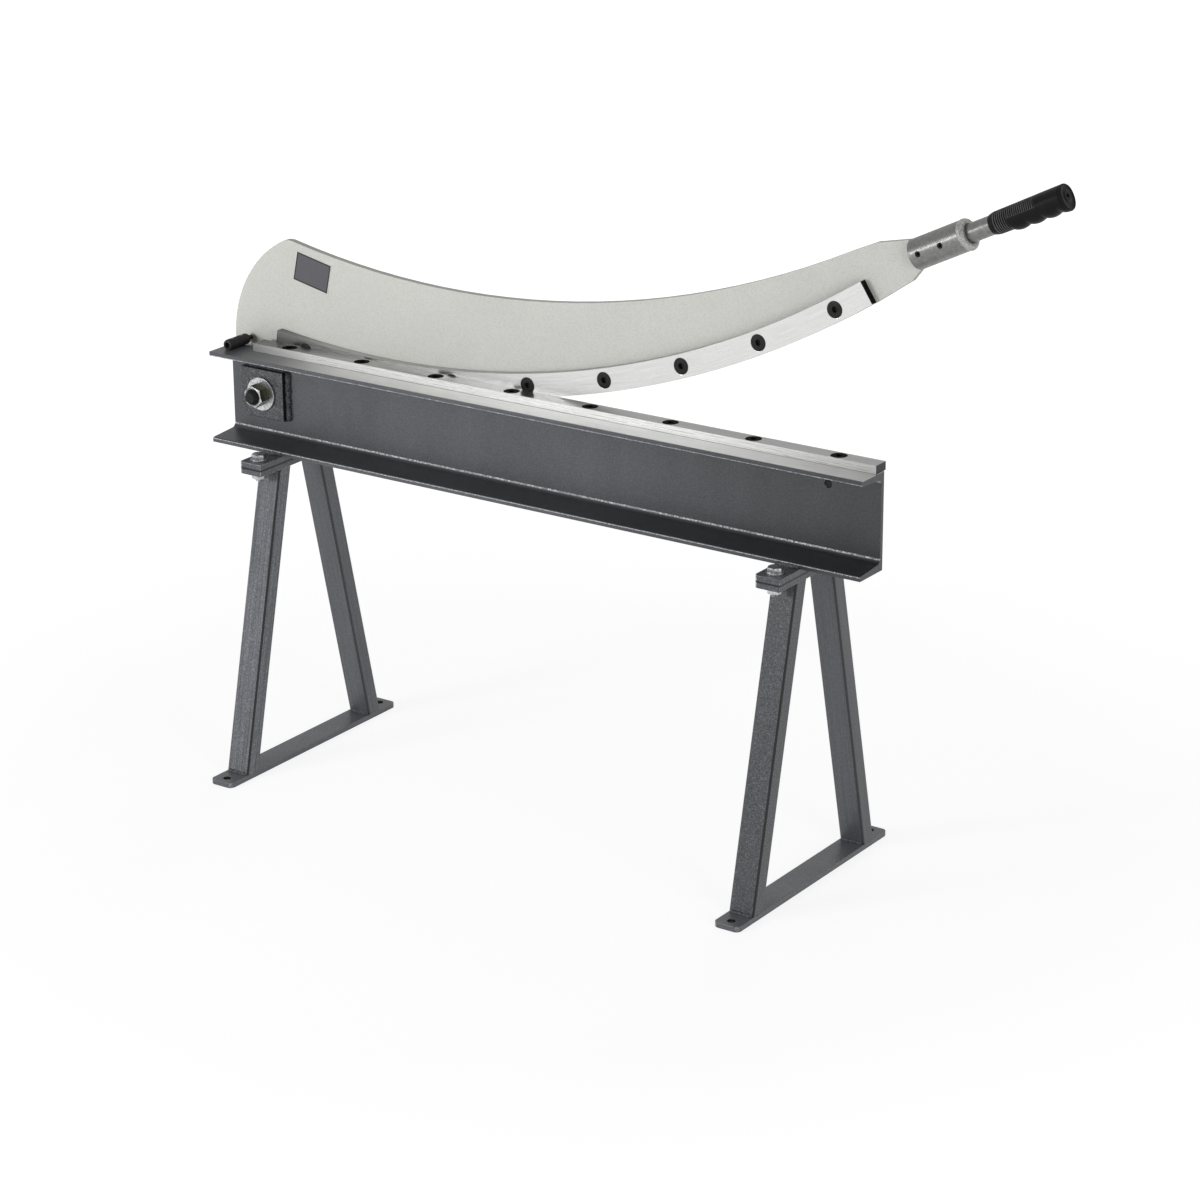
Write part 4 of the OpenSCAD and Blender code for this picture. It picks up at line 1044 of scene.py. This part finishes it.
class SHEAR_OT_grip(ShearOperator, bpy.types.Operator):
    """Makes the rubber grip with its rings, ribs, finger bumps and end"""

    bl_idname = "shear.grip"
    bl_label = "Grip"

    def execute(self, context):
        rubber = moulded_rubber("moulded_rubber", self.colours)
        columns, start, stop = 120, 129 * MM, 245 * MM
        # The rings go round the grip, and the ribs only over its upper side, with fingers below them
        rings, ribs, first_bump = (137 * MM, 158 * MM), (157 * MM, 203 * MM), 157 * MM
        last_bump, bore, recess = 242 * MM, 13.1 * MM, 244.4 * MM
        # Angle from the upper side, so that the fingers are at half a turn
        t = np.arange(columns) / columns * TAU
        s = np.linspace(start, stop - 1.2 * MM, 420)[:, None]
        upper, lower = np.cos(t)[None, :], -np.cos(t)[None, :]
        # The plain outline: a rounded start, then slowly thicker, with a shallow neck near the end
        places = [129, 130, 132, 134, 136, 140, 170, 190, 230, 239.6, 240.4, 241.4, 242.2, 244]
        radii = [13.7, 14, 14.5, 15, 15.3, 15.5, 15.8, 16.1, 16.5, 16.6, 15.7, 15.7, 16.7, 16.5]
        outline = np.interp(s[:, 0] / MM, places, radii)[:, None] * MM
        grooves = 0.5 - 0.5 * np.cos(TAU * (s - start) / self.sizes.rib_pitch)
        cut = np.maximum(window(s, *rings) * np.ones(columns),
                         window(s, *ribs) * np.clip((upper - 0.1) / 0.06, 0, 1))
        wave = np.abs(np.cos(math.pi * (s - last_bump) / self.sizes.bump_pitch)) ** 0.75
        inside = np.clip((s - first_bump) / (3 * MM), 0, 1)
        bumps = self.sizes.bump_rise * wave * inside * np.clip(lower, 0, 1) ** 1.6
        radius = outline - self.sizes.rib_depth * (grooves * cut) + bumps
        one = np.ones((1, columns))
        hole = (2.7 + 0.8 * np.cos(4 * t))[None, :] * MM
        end = radius[-1:]
        # From the bore's floor out over the start, along the outside, and over the end into its hole
        rows = [(bore * one, 236 * MM), (bore * one, 130 * MM), (13.4 * MM * one, start),
                (radius, s), (end - 0.4 * MM, 244.6 * MM), (end - 1.3 * MM, stop),
                (end - 2.4 * MM, stop), (end - 3.0 * MM, recess), (7.0 * MM * one, recess),
                (6.4 * MM * one, stop), (5.4 * MM * one, stop), (hole, stop - 0.2 * MM),
                (hole, 239 * MM)]
        grid = np.concatenate([round_grid(np.atleast_2d(r), np.broadcast_to(z, (len(r), 1)), columns)
                               for r, z in rows])
        # Groove values for the rings and ribs: tops lighter grey, grooves black with painted shade
        worn = cut * (0.3 + 0.7 * grooves)
        marks = np.concatenate([worn if r is radius else 0 * r for r, _ in rows])
        piece("ribbed_grip", LEVER, rubber,
              shell(placed(grid, SOCKET, ALONG, ACROSS)), ["rubber_grip"], sharp=60, marks=marks)
        return {"FINISHED"}


class SHEAR_OT_stage(ShearOperator, bpy.types.Operator):
    """Sets up the pale floor, the soft studio light and the camera"""

    bl_idname = "shear.stage"
    bl_label = "Stage"

    def execute(self, context):
        scene = context.scene
        scene.view_settings.view_transform = "Standard"
        world = bpy.data.worlds.new("studio")
        scene.world = world
        world.use_nodes = True
        world.node_tree.nodes.clear()
        add = partial(add_node, world.node_tree)
        # The camera sees white, and the metals see more light than falls on the paint
        on_paint, more_on_metal = 0.34, 0.4
        direct, glossy, through = (add("LightPath", ray) for ray in SEEING_RAYS)
        light = add("Math.MULTIPLY_ADD", in0=largest(add, glossy, through), in1=more_on_metal,
                    in2=on_paint)
        add("OutputWorld", Surface=add("Background", Color=WHITE,
                                       Strength=largest(add, direct, light)))

        # A flat ring round a middle face
        columns, inner, outer = 64, 0.5, 14.0
        verts = round_grid([inner, outer], [0.0, 0.0], columns).reshape(-1, 3)
        faces = [f[::-1] for f in ring_faces(2, columns)] + [list(range(columns))]
        mesh = bpy.data.meshes.new("studio_floor")
        mesh.from_pydata(verts.tolist(), [], faces)
        floor = bpy.data.objects.new("studio_floor", mesh)
        scene.collection.objects.link(floor)
        material, add, point = new_material("pale_floor")
        # The glow grows outwards, where the lamps light the floor less, so that it stays white
        far = add("VectorMath.LENGTH", "Value", in0=point)
        glow = add("Emission", Color=WHITE, Strength=add(
            "MapRange", Value=far, From_Min=0.8, From_Max=4.0, To_Min=1.1, To_Max=1.4))
        seen = largest(add, *(add("LightPath", ray) for ray in SEEING_RAYS))
        add("OutputMaterial", Surface=add(
            "MixShader", in0=add("Math.MULTIPLY", in0=seen, in1=0.75),
            in1=add("BsdfDiffuse", Color=(0.9, 0.9, 0.9, 1)), in2=glow))
        mesh.materials.append(material)

        # Place, width and watts of each lamp; only the small one gleams on the socket
        aim = Vector((0, 0, 0.7))
        for name, place, size, power, glossy in (
                ("key", (-1.7, -3.4, 1.25), 1.8, 49, False),
                ("right", (3.4, -1.6, 1.3), 1.6, 31, False),
                ("socket", (-1.62, -2.77, 1.17), 0.6, 15, True),
                ("top", (0.2, -0.4, 3.6), 2.6, 9, False),
                ("back", (-0.8, 3.4, 1.6), 2.4, 34, False)):
            lamp = bpy.data.lights.new(name, "AREA")
            lamp.shape = "DISK"
            lamp.size = size
            lamp.energy = power
            made = bpy.data.objects.new(name, lamp)
            scene.collection.objects.link(made)
            made.visible_glossy = glossy
            made.location = place
            made.rotation_euler = (aim - Vector(place)).to_track_quat("-Z", "Y").to_euler()

        camera = bpy.data.cameras.new("photograph")
        camera.lens = 106.8
        camera.sensor_width = 36
        camera.clip_end = 60
        place, roll = (2.8156, -3.9034, 2.0823), math.radians(-0.365)
        made = bpy.data.objects.new("photograph", camera)
        scene.collection.objects.link(made)
        look = Vector((-0.5358, 0.7716, -0.3429)).normalized()
        right = Vector((0.8214, 0.5704, 0)).normalized()
        above = right.cross(look)
        cos, sin = math.cos(roll), math.sin(roll)
        right, above = right * cos + above * sin, above * cos - right * sin
        turn = Matrix((right, above, -look)).transposed().to_4x4()
        made.matrix_world = Matrix.Translation(place) @ turn
        scene.camera = made
        return {"FINISHED"}


OPERATORS = (SHEAR_OT_stand, SHEAR_OT_welds, SHEAR_OT_joint_fasteners, SHEAR_OT_pivot,
             SHEAR_OT_adjuster, SHEAR_OT_blades, SHEAR_OT_blade_screws, SHEAR_OT_arm,
             SHEAR_OT_handle, SHEAR_OT_grip, SHEAR_OT_stage)


class SHEAR_PT_pieces(bpy.types.Panel):
    """Lists the shear's sizes, colours and pieces"""

    bl_idname = "SHEAR_PT_pieces"
    bl_label = "Lever shear"
    bl_space_type = "VIEW_3D"
    bl_region_type = "UI"
    bl_category = "Lever shear"

    def draw(self, context):
        layout = self.layout
        for group in (context.scene.shear_sizes, context.scene.shear_colours):
            for key in group.__annotations__:
                layout.prop(group, key)
        for operator in OPERATORS:
            layout.operator(operator.bl_idname)


CLASSES = (ShearSizes, ShearColours, *OPERATORS, SHEAR_PT_pieces)


def register():
    for cls in CLASSES:
        bpy.utils.register_class(cls)
    bpy.types.Scene.shear_sizes = bpy.props.PointerProperty(type=ShearSizes)
    bpy.types.Scene.shear_colours = bpy.props.PointerProperty(type=ShearColours)


def unregister():
    del bpy.types.Scene.shear_colours
    del bpy.types.Scene.shear_sizes
    for cls in reversed(CLASSES):
        bpy.utils.unregister_class(cls)


def main():
    register()
    for operator in OPERATORS:
        group, name = operator.bl_idname.split(".")
        getattr(getattr(bpy.ops, group), name)()


if __name__ == "__main__":
    main()
